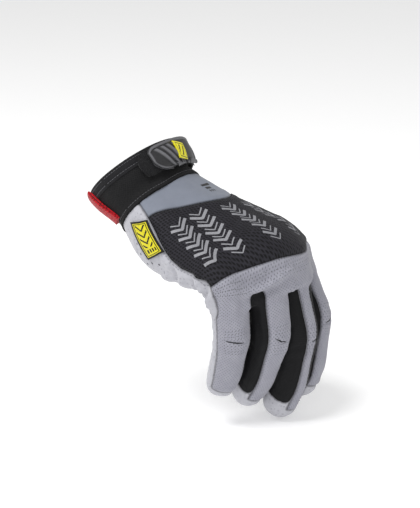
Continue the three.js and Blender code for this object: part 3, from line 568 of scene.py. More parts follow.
def panelFields(p):
    u, v, s, angle, near = p["u"], p["v"], p["s"], p["angle"], p["near"]
    radius = np.array([f["radius"] for f in fingers])[near]
    length = np.array([f["length"] for f in fingers])[near]
    perDegree = radius * math.pi / 180
    littleSide = np.stack([stripEdge("little", f["name"], s) for f in fingers])[near, np.arange(len(s))]
    thumbSide = np.stack([stripEdge("thumb", f["name"], s) for f in fingers])[near, np.arange(len(s))]
    onFinger = ease((s - seams["fingerFrom"]) / seams["fingerBlend"]) * (p["off"] > -30)
    onFinger = np.where(v < knuckleAt - 4, 0, onFinger)
    fields = {}
    fields["thumb"] = np.minimum(p["off"], p["away"]) - p["thumbAway"]
    fields["wrist_panel"] = np.minimum(between(u, 0.04, seams["thumbSide"]), wristSeam(u) - v)
    fields["back_panel"] = np.minimum(between(u, littleSeam(v), seams["thumbSide"]), knuckleSeam(u) - v)
    names = ["sidewall_pinky_ring", "sidewall_ring_middle", "sidewall_middle_index"]
    for w, (at, start, half, lean, tilt, rise) in enumerate(seams["webs"]):
        v0 = knuckleAt + start * hand["fingerBase"]
        t = (v - v0) / (bodyEnd + 2 - v0)
        wide = half * np.clip(0.1 + 1.6 * t, 0.0, 1) ** rise
        middle = at + lean * (1 - ease(t))
        across = wrap(u - middle) * ringMm
        body = np.minimum(wide * ringMm - np.abs(across), v - v0 - tilt * across)
        low = np.minimum(-angle - thumbSide, seams["palmSide"] + angle)
        high = np.minimum(angle - littleSide, seams["palmSide"] - angle)
        own = np.where(near == w, low, np.where(near == w + 1, high, -40.0))
        own = np.minimum(own * perDegree, seams["wallEnd"] * length - s)
        first = np.zeros(4)
        first[w:w + 2] = seams["wallStart"][w]
        begin = np.where(first[near] > 0, s - first[near], 12)
        fields[names[w]] = np.minimum(own * onFinger + body * (1 - onFinger), begin)
    body = np.minimum(between(u, -0.006, seams["thumbSide"]), v - knuckleSeam(u) + 1)
    own = np.minimum(angle + thumbSide, littleSide - angle) * perDegree
    own = np.minimum(own, seams["stripEnd"] * length - s)
    fields["finger_back_panel"] = own * onFinger + body * (1 - onFinger)
    fields["keep"] = v - (cuffEdge(u) - 3.5)
    return fields


def cutSkin(points, tris, place):
    fields = panelFields(place)
    for name, rounds in seams["evenRounds"].items():
        fields[name] = smoothed(np.clip(fields[name], -6, 12), skinEdges, rounds, 0.5)
    names = ["keep", "thumb", "wrist_panel", "back_panel", "sidewall_pinky_ring", "sidewall_ring_middle",
             "sidewall_middle_index", "finger_back_panel"]
    table = np.stack([fields[k] for k in names], 1)
    points = [tuple(p) for p in points]
    table = table.tolist()
    done = {k: [] for k in names}
    active = [tuple(t) for t in tris.tolist()]
    for k, name in enumerate(names):
        made = {}

        def crossing(a, b):
            key = (a, b) if a < b else (b, a)
            if key not in made:
                fa, fb = table[a][k], table[b][k]
                x = fa / (fa - fb)
                points.append(tuple(points[a][i] + (points[b][i] - points[a][i]) * x for i in range(3)))
                row = [table[a][i] + (table[b][i] - table[a][i]) * x for i in range(len(names))]
                row[k] = 0.0
                table.append(row)
                made[key] = len(points) - 1
            return made[key]

        for row in table:
            if abs(row[k]) < 0.06:
                row[k] = 0.0
        inside, outside = [], []
        for t in active:
            f = [table[i][k] for i in t]
            if min(f) >= 0:
                (inside if max(f) > 0 else outside).append(t)
            elif max(f) <= 0:
                outside.append(t)
            else:
                ring = []
                for i in range(3):
                    a, b = t[i], t[(i + 1) % 3]
                    ring.append((a, f[i]))
                    if f[i] * f[(i + 1) % 3] < 0:
                        ring.append((crossing(a, b), 0.0))
                for keep, out in ((1, inside), (-1, outside)):
                    side = [i for i, value in ring if value * keep >= 0]
                    for j in range(1, len(side) - 1):
                        out.append((side[0], side[j], side[j + 1]))
        if name == "keep":
            active = inside
        else:
            done[name] = inside
            active = outside
    done["palm_panel"] = active
    del done["keep"]
    return np.array(points), done


cutPoints, panels = cutSkin(skinPoints, skinTris, place)
print("panels:", {k: len(v) for k, v in panels.items()})


# Folds, seams and the give of the cloth, as heights off the skin in millimetres
cloth = {
    "seamDeep": 0.45, "seamWide": 0.8, "seamPuff": 0.35, "puffAt": 3.2, "puffWide": 1.8,
    "stripProud": 0.6, "wallSunk": 0.35, "slitHigh": -0.75, "slitWide": 0.9,
    # one row per plump pad: finger, angle, its half width, way along, its half width, height
    "plump": [("pinky", -50, 45, 26, 16, 0.9), ("ring", -50, 45, 45, 28, 1.6),
              ("index", -60, 60, 45, 26, 1.5)],
    "rippleFine": 0.12, "rippleBroad": 0.35,
    # the gathered suede along the outer edge of the hand
    "gatherAt": 0.945, "gatherWide": 0.05, "gatherFrom": 58, "gatherTo": 128, "gatherHigh": 1.5,
    "gatherFine": 0.6,
}


def softNoise(points, size, seed):
    lattice = np.random.default_rng(seed).uniform(-1, 1, (32, 32, 32))
    q = points / size + 100
    i = np.floor(q).astype(int)
    t = ease(q - i)
    total = 0
    for dx in (0, 1):
        for dy in (0, 1):
            for dz in (0, 1):
                w = ((t[:, 0] if dx else 1 - t[:, 0]) * (t[:, 1] if dy else 1 - t[:, 1])
                     * (t[:, 2] if dz else 1 - t[:, 2]))
                total = total + w * lattice[(i[:, 0] + dx) % 32, (i[:, 1] + dy) % 32, (i[:, 2] + dz) % 32]
    return total


def alongLine(points, line):
    best = np.full(len(points), 1e9)
    share = np.zeros(len(points))
    run = runOf(line)
    near = np.where(np.linalg.norm(points[:, None] - line[None, ::3], axis=2).min(1) < 16)[0]
    part = points[near]
    bestNear, shareNear = best[near], share[near]
    for k in range(len(line) - 1):
        a, b = line[k], line[k + 1]
        d = b - a
        t = np.clip(((part - a) @ d) / max(d @ d, 1e-9), 0, 1)
        away = np.linalg.norm(part - (a + t[:, None] * d), axis=1)
        closer = away < bestNear
        bestNear[closer] = away[closer]
        shareNear[closer] = ((run[k] + t * (run[k + 1] - run[k])) / run[-1])[closer]
    best[near], share[near] = bestNear, shareNear
    return best, share


def bodyLine(stops, count=25):
    stops = np.array(stops, float)
    t = np.linspace(0, 1, count)
    x = np.linspace(0, 1, len(stops))
    return bodySkin(np.interp(t, x, stops[:, 0]), np.interp(t, x, stops[:, 1]))


def fingerLine(f, stops, count=21):
    stops = np.array(stops, float)
    t = np.linspace(0, 1, count)
    x = np.linspace(0, 1, len(stops))
    return fingerSkin(f, np.interp(t, x, stops[:, 0]), np.interp(t, x, stops[:, 1]))


# one row per fold: its line in u and v, height (below zero a crease) and half width in millimetres
bodyFolds = [
    ([(0.14, 119), (0.165, 121), (0.2, 120.5), (0.235, 119)], 2.3, 2.0),
    ([(0.11, 114), (0.14, 115.5), (0.175, 116.5), (0.21, 115.5)], -1.3, 2.6),
    ([(0.15, 124), (0.175, 125.5), (0.2, 126)], -0.6, 1.8),
    ([(0.999, 104), (0.98, 110), (0.945, 118), (0.91, 127)], -2.4, 1.8),
    ([(0.99, 99), (0.965, 105), (0.93, 110)], 2.0, 2.6),
    ([(0.995, 95), (0.965, 99), (0.92, 103), (0.88, 104)], -2.0, 1.7),
    ([(0.99, 86), (0.955, 91), (0.91, 92)], 1.7, 2.6),
    ([(0.985, 79), (0.96, 84), (0.92, 85), (0.88, 82)], -1.6, 1.6),
    ([(0.965, 74), (0.93, 77), (0.9, 75)], 0.8, 2.2),
    ([(0.955, 68), (0.93, 70), (0.89, 68)], -0.8, 1.5),
    ([(0.98, 114), (0.95, 124), (0.935, 131)], 1.5, 2.4),
    ([(0.96, 42), (0.93, 47), (0.9, 48)], -0.5, 1.6),
    ([(0.1, 44), (0.17, 47), (0.22, 52)], 0.35, 3.0),
    ([(0.28, 46), (0.33, 52), (0.36, 58)], -0.4, 2.6),
    ([(0.6, 60), (0.68, 74), (0.72, 92), (0.7, 106)], -1.3, 2.2),
    ([(0.86, 92), (0.8, 100), (0.74, 103)], -1.1, 2.0),
    ([(0.9, 72), (0.83, 82), (0.76, 88)], -0.9, 2.0),
    ([(0.85, 50), (0.8, 62), (0.77, 74)], 0.8, 3.0),
]
folds = [{"line": bodyLine(stops), "high": high, "wide": wide} for stops, high, wide in bodyFolds]
# creases inside each finger's joints, and short ones at the sides of the middle joint
creases = {"root": 0.21, "apart": 4.2, "curve": 1.5, "outerShare": 0.6, "wide": 1.5, "sideHigh": -0.35,
           "sideWide": 1.6}
for f in fingers:
    for joint, deep in ((hand["middleJoint"], 1.0), (hand["endJoint"], 0.7), (creases["root"], 0.9)):
        for k in (-1, 0, 1):
            s = joint * f["length"] + k * creases["apart"]
            bent = s + creases["curve"] * k
            line = fingerLine(f, [(118, bent), (150, s), (180, s - 0.6), (210, s), (242, bent)])
            folds.append({"line": line, "high": -deep * (creases["outerShare"] if k else 1),
                          "wide": creases["wide"]})
    for way in (-1, 1):
        s = hand["middleJoint"] * f["length"] + 3 * way
        folds.append({"line": fingerLine(f, [(20 * way, s), (60 * way, s + 2), (88 * way, s + 5)]),
                      "high": creases["sideHigh"], "wide": creases["sideWide"]})

slits = []
for k, (stops, wide) in enumerate(hand["slits"]):
    f = fingers[k]
    line = fingerLine(f, [(angle, share * f["length"]) for angle, share in stops])
    slits.append((line, wide))
    folds.append({"line": line, "high": cloth["slitHigh"], "wide": cloth["slitWide"]})

place = placeAll(cutPoints)
panelOf = np.zeros((len(cutPoints), len(panels)), bool)
for k, t in enumerate(panels.values()):
    panelOf[np.unique(np.array(t)), k] = True
onSeam = panelOf.sum(1) > 1
seamTree = treeOf(cutPoints[onSeam])
toSeam = np.array([seamTree.find(p)[2] for p in cutPoints])
allTris = np.concatenate([np.array(t) for t in panels.values()])
skinNormals = normalsOf(cutPoints, allTris)
allEdges = edgesOf(allTris)

lift = -cloth["seamDeep"] * np.exp(-(toSeam / cloth["seamWide"]) ** 2)
lift += cloth["seamPuff"] * np.exp(-((toSeam - cloth["puffAt"]) / cloth["puffWide"]) ** 2)
lift += cloth["rippleBroad"] * softNoise(cutPoints, 11, 1) + cloth["rippleFine"] * softNoise(cutPoints, 4, 2)
for row in folds:
    away, share = alongLine(cutPoints, row["line"])
    taper = np.sin(np.pi * np.clip(share * 0.9 + 0.05, 0, 1)) ** 0.7
    wave = np.exp(-(away / row["wide"]) ** 2)
    shoulder = np.exp(-((away - 2.2 * row["wide"]) / (1.2 * row["wide"])) ** 2)
    lift += row["high"] * taper * (wave - 0.35 * shoulder)
order = list(panels)
strips = panelOf[:, order.index("finger_back_panel")]
walls = panelOf[:, [order.index(k) for k in order if k.startswith("sidewall")]].any(1)
beyond = ease((place["s"] - 8) / 14) * (place["v"] > knuckleAt)
edgeIn = ease(toSeam / 2.0)
proud = strips * ~walls * cloth["stripProud"] * (0.5 + 0.5 * edgeIn)
lift += beyond * (proud - walls * cloth["wallSunk"] * edgeIn)
for name, angleAt, angleWide, sAt, sWide, high in cloth["plump"]:
    k = [f["name"] for f in fingers].index(name)
    wave = np.exp(-((place["angle"] - angleAt) / angleWide) ** 2 - ((place["s"] - sAt) / sWide) ** 2)
    lift += high * wave * (place["near"] == k) * ease((place["s"] - 4) / 12)
fromEdge = wrap(place["u"] - cloth["gatherAt"]) / cloth["gatherWide"]
leather = panelOf[:, order.index("palm_panel")] * np.exp(-fromEdge ** 2)
leather = leather * ease((place["v"] - cloth["gatherFrom"]) / 20)
leather = leather * (1 - ease((place["v"] - cloth["gatherTo"]) / 10))
lift += leather * (cloth["gatherHigh"] * softNoise(cutPoints * [0.45, 1, 0.8], 5.0, 5)
                   + cloth["gatherFine"] * softNoise(cutPoints, 2.8, 6))
finalPoints = cutPoints + skinNormals * lift[:, None]
finalNormals = unit(smoothed(normalsOf(finalPoints, allTris), allEdges, 2))
print("skin folded, heights", round(float(lift.min()), 2), round(float(lift.max()), 2))

# the flat pattern of the skin, in metres, for the weaves
row = np.clip((place["v"] - gridV[0]) / gridStep, 0, len(gridV) - 1.001)
col = (place["u"] % 1.0) * len(gridU)
r0, c0 = row.astype(int), col.astype(int) % len(gridU)
closed = np.where(gridU[None] > 0.75, arc - arc[:, [-1]] + arc[:, [0]], arc)
flatX = closed[r0, c0] + (col - np.floor(col)) * np.linalg.norm(nextU, axis=2)[r0, c0]
flatY = place["v"]
knuckleRow = int((knuckleAt + 10 - gridV[0]) / gridStep)
homeX = np.array([closed[knuckleRow, int((2 + k) / len(ovalAngles) * len(gridU))] for k in range(4)])
fingerMm = np.array([f["radius"] for f in fingers])[place["near"]] * np.pi / 180
onFinger = ease((place["s"] - 6) / 20) * (place["v"] > knuckleAt - 6)
flatX = flatX + (homeX[place["near"]] - place["angle"] * fingerMm - flatX) * onFinger
flatY = flatY + (place["s"] + knuckleAt - flatY) * onFinger
flat = np.stack([flatX, flatY], 1) / 1000


def finish(piece, name, node=None, angle=None):
    piece.name = name
    piece.data.name = name
    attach(piece, "root")
    if node:
        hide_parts(node)
    for poly in piece.data.polygons:
        poly.use_smooth = True
    if angle:
        pickOnly(piece)
        bpy.ops.object.shade_smooth_by_angle(angle=math.radians(angle))
    return piece


def addMap(mesh, values):
    layer = mesh.uv_layers.new(name="clothMap")
    loops = np.empty(len(mesh.loops), np.int32)
    mesh.loops.foreach_get("vertex_index", loops)
    layer.data.foreach_set("uv", values[loops].astype(np.float32).ravel())


def addValue(mesh, name, values):
    attribute = mesh.attributes.new(name, "FLOAT", "POINT")
    attribute.data.foreach_set("value", values.astype(np.float32))


def wallPiece(name, tris, thick):
    tris = np.array(tris)
    ids, local = np.unique(tris, return_inverse=True)
    local = local.reshape(-1, 3)
    n = len(ids)
    outer = finalPoints[ids]
    inner = outer - finalNormals[ids] * thick
    directed = {(a, b) for t in local.tolist() for a, b in ((t[0], t[1]), (t[1], t[2]), (t[2], t[0]))}
    rim = [(a, b) for a, b in directed if (b, a) not in directed]
    faces = local.tolist() + (local[:, ::-1] + n).tolist() + [[b, a, a + n, b + n] for a, b in rim]
    piece = newPiece(name, toPart(np.concatenate([outer, inner])), faces)
    addMap(piece.data, np.concatenate([flat[ids], flat[ids]]))
    # the distance to the nearest seam, which places the painted shade beside the seams
    addValue(piece.data, "seamMm", np.concatenate([toSeam[ids], toSeam[ids]]))
    return finish(piece, name, name)


skinTree = BVHTree.FromPolygons([tuple(p) for p in finalPoints], allTris.tolist())
flatTree = treeOf(finalPoints)


def onSkin(points, out=0.0):
    spots, normals = [], []
    for p in points:
        q, n, _, _ = skinTree.find_nearest(Vector(p))
        spots.append(np.array(q) + np.array(n) * out)
        normals.append(np.array(n))
    return np.array(spots), np.array(normals)


panelPieces = {name: wallPiece(name, tris, hand["wall"]) for name, tris in panels.items()}
# Flat sizes, worked out from the built skin: a panel's length along the hand, and the width that its area
# gives where it fills this share, a guess, of the rectangle that it is cut from
cutShare = 0.8
for name, tris in panels.items():
    a, b, c = (cutPoints[np.array(tris)[:, k]] for k in range(3))
    area = np.linalg.norm(np.cross(b - a, c - a), axis=1).sum() / 2e6
    ids = np.unique(np.array(tris))
    long = float(np.ptp(flat[ids, 1]))
    wide = area / cutShare / long
    print("cut", name, round(wide * 1000), "x", round(long * 1000), "mm", round(area * 1e4), "cm2")
print("panels made:", {k: len(p.data.polygons) for k, p in panelPieces.items()})


# Cuff, binding and closure
smoothAngle = 40
cuff = {"hemWidth": 7.0, "hemOut": 1.3, "hemWall": 2.5, "cuffOut": 0.95, "cuffWall": 2.0, "ripple": 0.3}


def gridFaces(rows, cols, closed):
    faces = []
    for i in range(rows - 1):
        for j in range(cols if closed else cols - 1):
            k = (j + 1) % cols
            faces.append((i * cols + j, (i + 1) * cols + j, (i + 1) * cols + k, i * cols + k))
    return faces


def facingOut(piece, sample):
    mesh = piece.data
    total = 0.0
    for k in range(0, len(mesh.polygons), max(1, len(mesh.polygons) // 60)):
        poly = mesh.polygons[k]
        total += poly.normal.dot(poly.center - Vector(sample))
    if total < 0:
        mesh.flip_normals()


def modify(piece, kind, name, **values):
    pickOnly(piece)
    modifier = piece.modifiers.new(name, kind)
    for key, value in values.items():
        setattr(modifier, key, value)
    bpy.ops.object.modifier_apply(modifier=name)


def evenOut(points, rounds, closed=False):
    for _ in range(rounds):
        wide = np.pad(points, ((1, 1), (0, 0), (0, 0)), mode="reflect", reflect_type="odd")
        if closed:
            wide = np.concatenate([wide[:, -1:], wide, wide[:, :1]], 1)
        else:
            wide = np.pad(wide, ((0, 0), (1, 1), (0, 0)), mode="reflect", reflect_type="odd")
        points = points / 2 + (wide[:-2, 1:-1] + wide[2:, 1:-1] + wide[1:-1, :-2] + wide[1:-1, 2:]) / 8
    return points


def sheetNormals(points, inner):
    normals = unit(np.cross(np.gradient(points, axis=0), np.gradient(points, axis=1)))
    return normals if (normals * (points - inner)).sum() > 0 else -normals


def ringCentre(v):
    count = len(ovalAngles)
    return toPart(bodySkin(np.arange(count) / count, np.full(count, v)).mean(0))


def layer(name, u, v, out, thick, closed=False, bevel=0.3, extra=None, even=0):
    u, v = np.broadcast_arrays(u, v)
    out = np.broadcast_to(out, u.shape)
    rows, cols = u.shape
    if even:
        middle = float(np.median(out))
        base = evenOut(bodyPoint(u, v, np.full(u.shape, middle)), even, closed)
        spots = base + sheetNormals(base, bodySkin(u, v)) * (out - middle)[..., None]
    else:
        spots = bodyPoint(u, v, out)
    piece = newPiece(name, toPart(spots.reshape(-1, 3)), gridFaces(rows, cols, closed))
    facingOut(piece, ringCentre(float(v.mean())))
    addMap(piece.data, np.stack([((u - u.min()) * ringMm).ravel(), v.ravel()], 1) / 1000)
    for key, values in (extra or {}).items():
        addValue(piece.data, key, np.asarray(values, float).ravel())
    modify(piece, "SOLIDIFY", "wall", thickness=thick / 1000, offset=-1, use_even_offset=False)
    if bevel:
        modify(piece, "BEVEL", "edge", width=bevel / 1000, segments=3, limit_method="ANGLE",
               angle_limit=math.radians(50))
    piece = finish(piece, name, name, angle=smoothAngle)
    # the tab and its badge are rubber
    return piece


def roundInset(away, radius):
    return radius - np.sqrt(np.maximum(0, radius ** 2 - (radius - np.minimum(away, radius)) ** 2))


def ringGrid(low, high, rows, cols=320):
    u = np.arange(cols) / cols
    t = np.linspace(0, 1, rows)[:, None]
    return np.broadcast_to(u, (rows, cols)), low(u) + (high(u) - low(u)) * t


u, v = ringGrid(lambda u: 0 * u + cuff["hemWidth"] - 0.2, lambda u: cuffEdge(u), 34)
spots = bodySkin(u, v).reshape(-1, 3)
ripple = (softNoise(spots, 12, 11) + 0.4 * softNoise(spots, 5, 12)).reshape(u.shape) * cuff["ripple"]
toEdge = cuffEdge(u) - v
stitchLine = -0.35 * np.exp(-((toEdge - 3.2) / 0.7) ** 2) - 0.3 * np.exp(-((v - 8.6) / 0.6) ** 2)
# seamMm is the distance to the cuff's top edge and to the hem, where the cuff gets painted shade
cuffPiece = layer("cuff", u, v, cuff["cuffOut"] + ripple + stitchLine, cuff["cuffWall"], closed=True,
                  bevel=0.7, extra={"seamMm": np.minimum(toEdge, v - cuff["hemWidth"] + 0.4)})
u, v = ringGrid(lambda u: 0 * u, lambda u: 0 * u + cuff["hemWidth"], 20)
hemShape = cuff["hemOut"] + 0.25 * np.sin(np.clip(v / 7, 0, 1) * np.pi)
hemShape = hemShape - 0.35 * np.exp(-((v - 5.2) / 0.6) ** 2)
hemPiece = layer("cuff_hem", u, v, hemShape, cuff["hemWall"], closed=True, bevel=1.0,
                 extra={"seamMm": np.minimum(cuff["hemWidth"] - v, 5.0)})

patch = {"start": 0.1, "end": 0.41, "low": 1.5, "high": 19.5, "out": 2.9, "thick": 1.0, "round": 8.0,
         "fuzzFine": 0.22, "fuzzBroad": 0.2}
u, v = np.meshgrid(patch["start"] + (patch["end"] - patch["start"]) * np.linspace(0, 1, 140),
                   patch["low"] + (patch["high"] - patch["low"]) * np.linspace(0, 1, 44))
inset = roundInset(np.minimum(u - patch["start"], patch["end"] - u) * ringMm, patch["round"])
v = patch["low"] + inset + (v - patch["low"]) * (1 - 2 * inset / (patch["high"] - patch["low"]))
spots = bodySkin(u, v).reshape(-1, 3)
fuzz = patch["fuzzFine"] * softNoise(spots, 0.9, 21) + patch["fuzzBroad"] * softNoise(spots, 2.2, 22)
patchPiece = layer("loop_patch", u, v, patch["out"] + fuzz.reshape(u.shape), patch["thick"], bevel=0)

strap = {"start": 0.16, "length": 108, "low": 3.5, "high": 18.5, "out": 4.6, "thick": 1.2}
u, v = np.meshgrid(strap["start"] + np.linspace(0, 1, 160) * strap["length"] / ringMm,
                   np.linspace(strap["low"], strap["high"], 24))
strapPiece = layer("closure_strap", u, v, strap["out"] + 0 * u, strap["thick"], bevel=0.4, even=120)

# The moulded tab: a rim, a sunk field, slanted ribs
tab = {
    "start": 0.134, "length": 64, "low": 2.0, "out": 5.7, "thick": 2.2, "rimHigh": 0.75, "rimWide": 1.5,
    "round": 3.0, "evenRounds": 220, "ribsEnd": 40,
    "ribPitch": 6.2, "ribWide": 2.5, "ribHigh": 0.95, "ribLean": 0.95, "ribCount": 4, "ribFirst": 4.0,
    "edgeU": [0.134, 0.139, 0.147, 0.162, 0.19, 0.22, 0.26, 0.32, 0.385, 0.401],
    "edgeV": [10.5, 13.0, 14.8, 16.6, 19.2, 21.4, 23.2, 23.6, 22.0, 17.0],
}
tabU = tab["start"] + np.linspace(0, 1, 190) * tab["length"] / ringMm
tabT = np.linspace(0, 1, 56)[:, None]
tabHigh = np.interp(tabU, tab["edgeU"], tab["edgeV"])
for _ in range(3):
    tabHigh[1:-1] = (tabHigh[:-2] + tabHigh[1:-1] * 2 + tabHigh[2:]) / 4
fromStart = (tabU - tab["start"]) * ringMm
fromEnd = tab["length"] - fromStart
lowInset = roundInset(np.minimum(fromStart, fromEnd), tab["round"])
u = np.broadcast_to(tabU, (tabT.size, tabU.size))
v = tab["low"] + lowInset + (tabHigh - tab["low"] - lowInset) * tabT
x = np.broadcast_to(fromStart, u.shape)
inside = np.minimum.reduce([v - tab["low"] - lowInset, tabHigh - v, x + 0 * v,
                            np.broadcast_to(fromEnd, u.shape)])
height = tab["rimHigh"] * (1 - ease((inside - tab["rimWide"]) / 0.5)) - 0.55 * (1 - ease(inside / 0.7))
ribMask = np.zeros(u.shape)
for k in range(tab["ribCount"]):
    middle = tab["ribFirst"] + k * tab["ribPitch"] + (v - tab["low"]) * tab["ribLean"]
    across = np.abs(x - middle) / math.hypot(1, tab["ribLean"])
    ribMask = np.maximum(ribMask, 1 - ease((across - tab["ribWide"] * 0.3) / 0.55))
ribMask = ribMask * ease((inside - tab["rimWide"] - 0.7) / 0.5) * (x < tab["ribsEnd"])
height = height + ribMask * tab["ribHigh"]
# the height of the rim and ribs above the field places the tab's painted highlight
tabPiece = layer("closure_tab", u, v, tab["out"] + height, tab["thick"], bevel=0,
                 extra={"ridgeHighlight": np.clip(height, 0, 1)}, even=tab["evenRounds"])
tabBase = evenOut(bodyPoint(u, v, np.full(u.shape, tab["out"])), tab["evenRounds"])
tabNormal = sheetNormals(tabBase, bodySkin(u, v))

badge = {"start": 0.236, "share": 0.042, "low": 3.9, "tall": 9.6, "slant": 3.0, "out": 1.35, "thick": 0.8,
         "edge": 0.9, "line": 0.45, "bar": 0.55, "barPitch": 3.4, "barIn": 2.1}
across, up = np.meshgrid(np.linspace(0, 1, 60), np.linspace(0, 1, 44))
u = badge["start"] + across * badge["share"]
v = badge["low"] + up * badge["tall"] + across * badge["slant"]
bx, by = across * badge["share"] * ringMm, up * badge["tall"]
frameMm = np.minimum.reduce([bx, bx.max() - bx, by, badge["tall"] - by])
bars = np.abs((bx + by * 0.5) % badge["barPitch"] - badge["barPitch"] / 2) < badge["bar"]
frameInk = (frameMm > badge["edge"]) & (frameMm < badge["edge"] + badge["line"])
ink = frameInk | (bars & (frameMm > badge["barIn"]))
col = (u - tab["start"]) * ringMm / tab["length"] * (tabU.size - 1)
highAt = np.interp(u, tabU, tabHigh)
row = (v - tab["low"]) / (highAt - tab["low"]) * (tabT.size - 1)
r0, c0 = row.astype(int), col.astype(int)
fr, fc = (row - r0)[..., None], (col - c0)[..., None]
spots, normals = [(a[r0, c0] * (1 - fr) * (1 - fc) + a[r0 + 1, c0] * fr * (1 - fc)
                   + a[r0, c0 + 1] * (1 - fr) * fc + a[r0 + 1, c0 + 1] * fr * fc)
                  for a in (tabBase, tabNormal)]
spots = spots + unit(normals) * (badge["out"] + 0.2 * ease(frameMm / 0.8))[..., None]
badgePiece = newPiece("tab_badge", toPart(spots.reshape(-1, 3)), gridFaces(44, 60, False))
facingOut(badgePiece, toPart([0, 0, 0]))
addMap(badgePiece.data, np.stack([bx.ravel(), by.ravel()], 1) / 1000)
addValue(badgePiece.data, "ink", ink.astype(float).ravel())
modify(badgePiece, "SOLIDIFY", "wall", thickness=badge["thick"] / 1000, offset=-1)
finish(badgePiece, "tab_badge", "tab_badge", angle=smoothAngle)
print("cuff and closure made")

# The woven label, folded over the seam
label = {"low": [(-0.017, 32.8), (0.035, 43.6)], "high": [(-0.0435, 59.4), (0.0085, 69.3)], "thick": 0.7,
         "wide": 12.5, "long": 27.0, "out": 1.55, "rimHigh": 0.12, "evenRounds": 60,
         "border": 1.35, "lineFrom": 1.95, "lineTo": 2.3, "fieldIn": 2.9, "stripesEnd": 19.5,
         "stripePitch": 4.2, "stripeWide": 0.72, "blocksFrom": 20.8, "blocksEnd": 23.4, "blockPitch": 1.8,
         "blockWide": 1.1}
a, b = np.linspace(0, 1, 52), np.linspace(0, 1, 110)[:, None]
corner = lambda k: ((label["low"][0][k] * (1 - a) + label["low"][1][k] * a) * (1 - b)
                    + (label["high"][0][k] * (1 - a) + label["high"][1][k] * a) * b)
u, v = corner(0), corner(1)
base = bodySkin(u, v)
spots, normals = onSkin(base.reshape(-1, 3))
spots = spots.reshape(110, 52, 3)
smoothSpots = spots.copy()
for _ in range(label["evenRounds"]):
    smoothSpots[1:-1, 1:-1] = (smoothSpots[:-2, 1:-1] + smoothSpots[2:, 1:-1] + smoothSpots[1:-1, :-2]
                               + smoothSpots[1:-1, 2:]) / 4
    for rows in (smoothSpots, smoothSpots.swapaxes(0, 1)):
        rows[0] = rows[1] * 2 - rows[2]
        rows[-1] = rows[-2] * 2 - rows[-3]
outward = unit(np.cross(np.gradient(smoothSpots, axis=0), np.gradient(smoothSpots, axis=1)))
if (outward.reshape(-1, 3) * normals).sum() < 0:
    outward = -outward
ax, by = np.broadcast_to(a * label["wide"], u.shape), np.broadcast_to(b * label["long"], u.shape)
frameMm = np.minimum.reduce([ax, label["wide"] - ax, by, label["long"] - by])
labelSpots = smoothSpots + outward * (label["out"] + label["rimHigh"] * ease(frameMm)[..., None])
labelPiece = newPiece("side_label", toPart(labelSpots.reshape(-1, 3)), gridFaces(110, 52, False))
facingOut(labelPiece, ringCentre(50.0))
addMap(labelPiece.data, np.stack([ax.ravel(), by.ravel()], 1) / 1000)
slanted = (by * 0.9 + np.abs(ax - label["wide"] / 2) * 1.1) % label["stripePitch"]
stripe = np.abs(slanted - label["stripePitch"] / 2) < label["stripeWide"]
field = frameMm > label["fieldIn"]
blocks = (by > label["blocksFrom"]) & (by < label["blocksEnd"])
blocks = blocks & (ax % label["blockPitch"] < label["blockWide"])
frameInk = (frameMm < label["border"]) | ((frameMm > label["lineFrom"]) & (frameMm < label["lineTo"]))
ink = frameInk | (field & (by < label["stripesEnd"]) & stripe) | (field & blocks)
addValue(labelPiece.data, "ink", ink.astype(float).ravel())
modify(labelPiece, "SOLIDIFY", "wall", thickness=label["thick"] / 1000, offset=-1)
finish(labelPiece, "side_label", "side_label", angle=smoothAngle)

# The pull loop: red webbing, doubled
loop = {"at": 0.902, "lean": 0.0011, "wide": 9.5, "thick": 1.0, "weaveHalf": 5, "weaveLong": 46, "bevel": 0.3,
        "v": [0.7, 0.52, 0.34, 0.16, 0.05, -0.02, 0.04, 0.14, 0.34, 0.52, 0.7],
        "out": [1.9, 1.9, 2.0, 2.2, 2.4, 3.0, 3.9, 4.1, 3.7, 3.3, 3.0]}
t = np.linspace(0, 1, 90)
x = np.linspace(0, 1, 11)
loopV = np.interp(t, x, loop["v"]) * hand["cuffLength"]
loopOut = np.interp(t, x, loop["out"])
for _ in range(10):
    loopV[1:-1] = (loopV[:-2] + 2 * loopV[1:-1] + loopV[2:]) / 4
    loopOut[1:-1] = (loopOut[:-2] + 2 * loopOut[1:-1] + loopOut[2:]) / 4
side = np.linspace(-1, 1, 13)
u = loop["at"] + side * loop["wide"] / 2 / ringMm + loop["lean"] * loopV[:, None]
line = bodyPoint(u, np.broadcast_to(loopV[:, None], u.shape), np.broadcast_to(loopOut[:, None], u.shape))
loopPiece = newPiece("pull_loop", toPart(line.reshape(-1, 3)), gridFaces(90, 13, False))
weaveX = np.broadcast_to(side * loop["weaveHalf"], u.shape)
weaveY = np.broadcast_to(t[:, None] * loop["weaveLong"], u.shape)
addMap(loopPiece.data, np.stack([weaveX.ravel(), weaveY.ravel()], 1) / 1000)
modify(loopPiece, "SOLIDIFY", "wall", thickness=loop["thick"] / 1000, offset=0)
modify(loopPiece, "BEVEL", "edge", width=loop["bevel"] / 1000, segments=2, limit_method="ANGLE",
       angle_limit=math.radians(50))
finish(loopPiece, "pull_loop", "pull_loop", angle=smoothAngle)
print("label and pull loop made")


# Small work on the skin: strokes of print, stitches, vent holes, knuckle slits
def flatNear(spots):
    values = np.zeros((len(spots), 2))
    for i, p in enumerate(spots):
        values[i] = flat[flatTree.find(p)[1]]
    return values


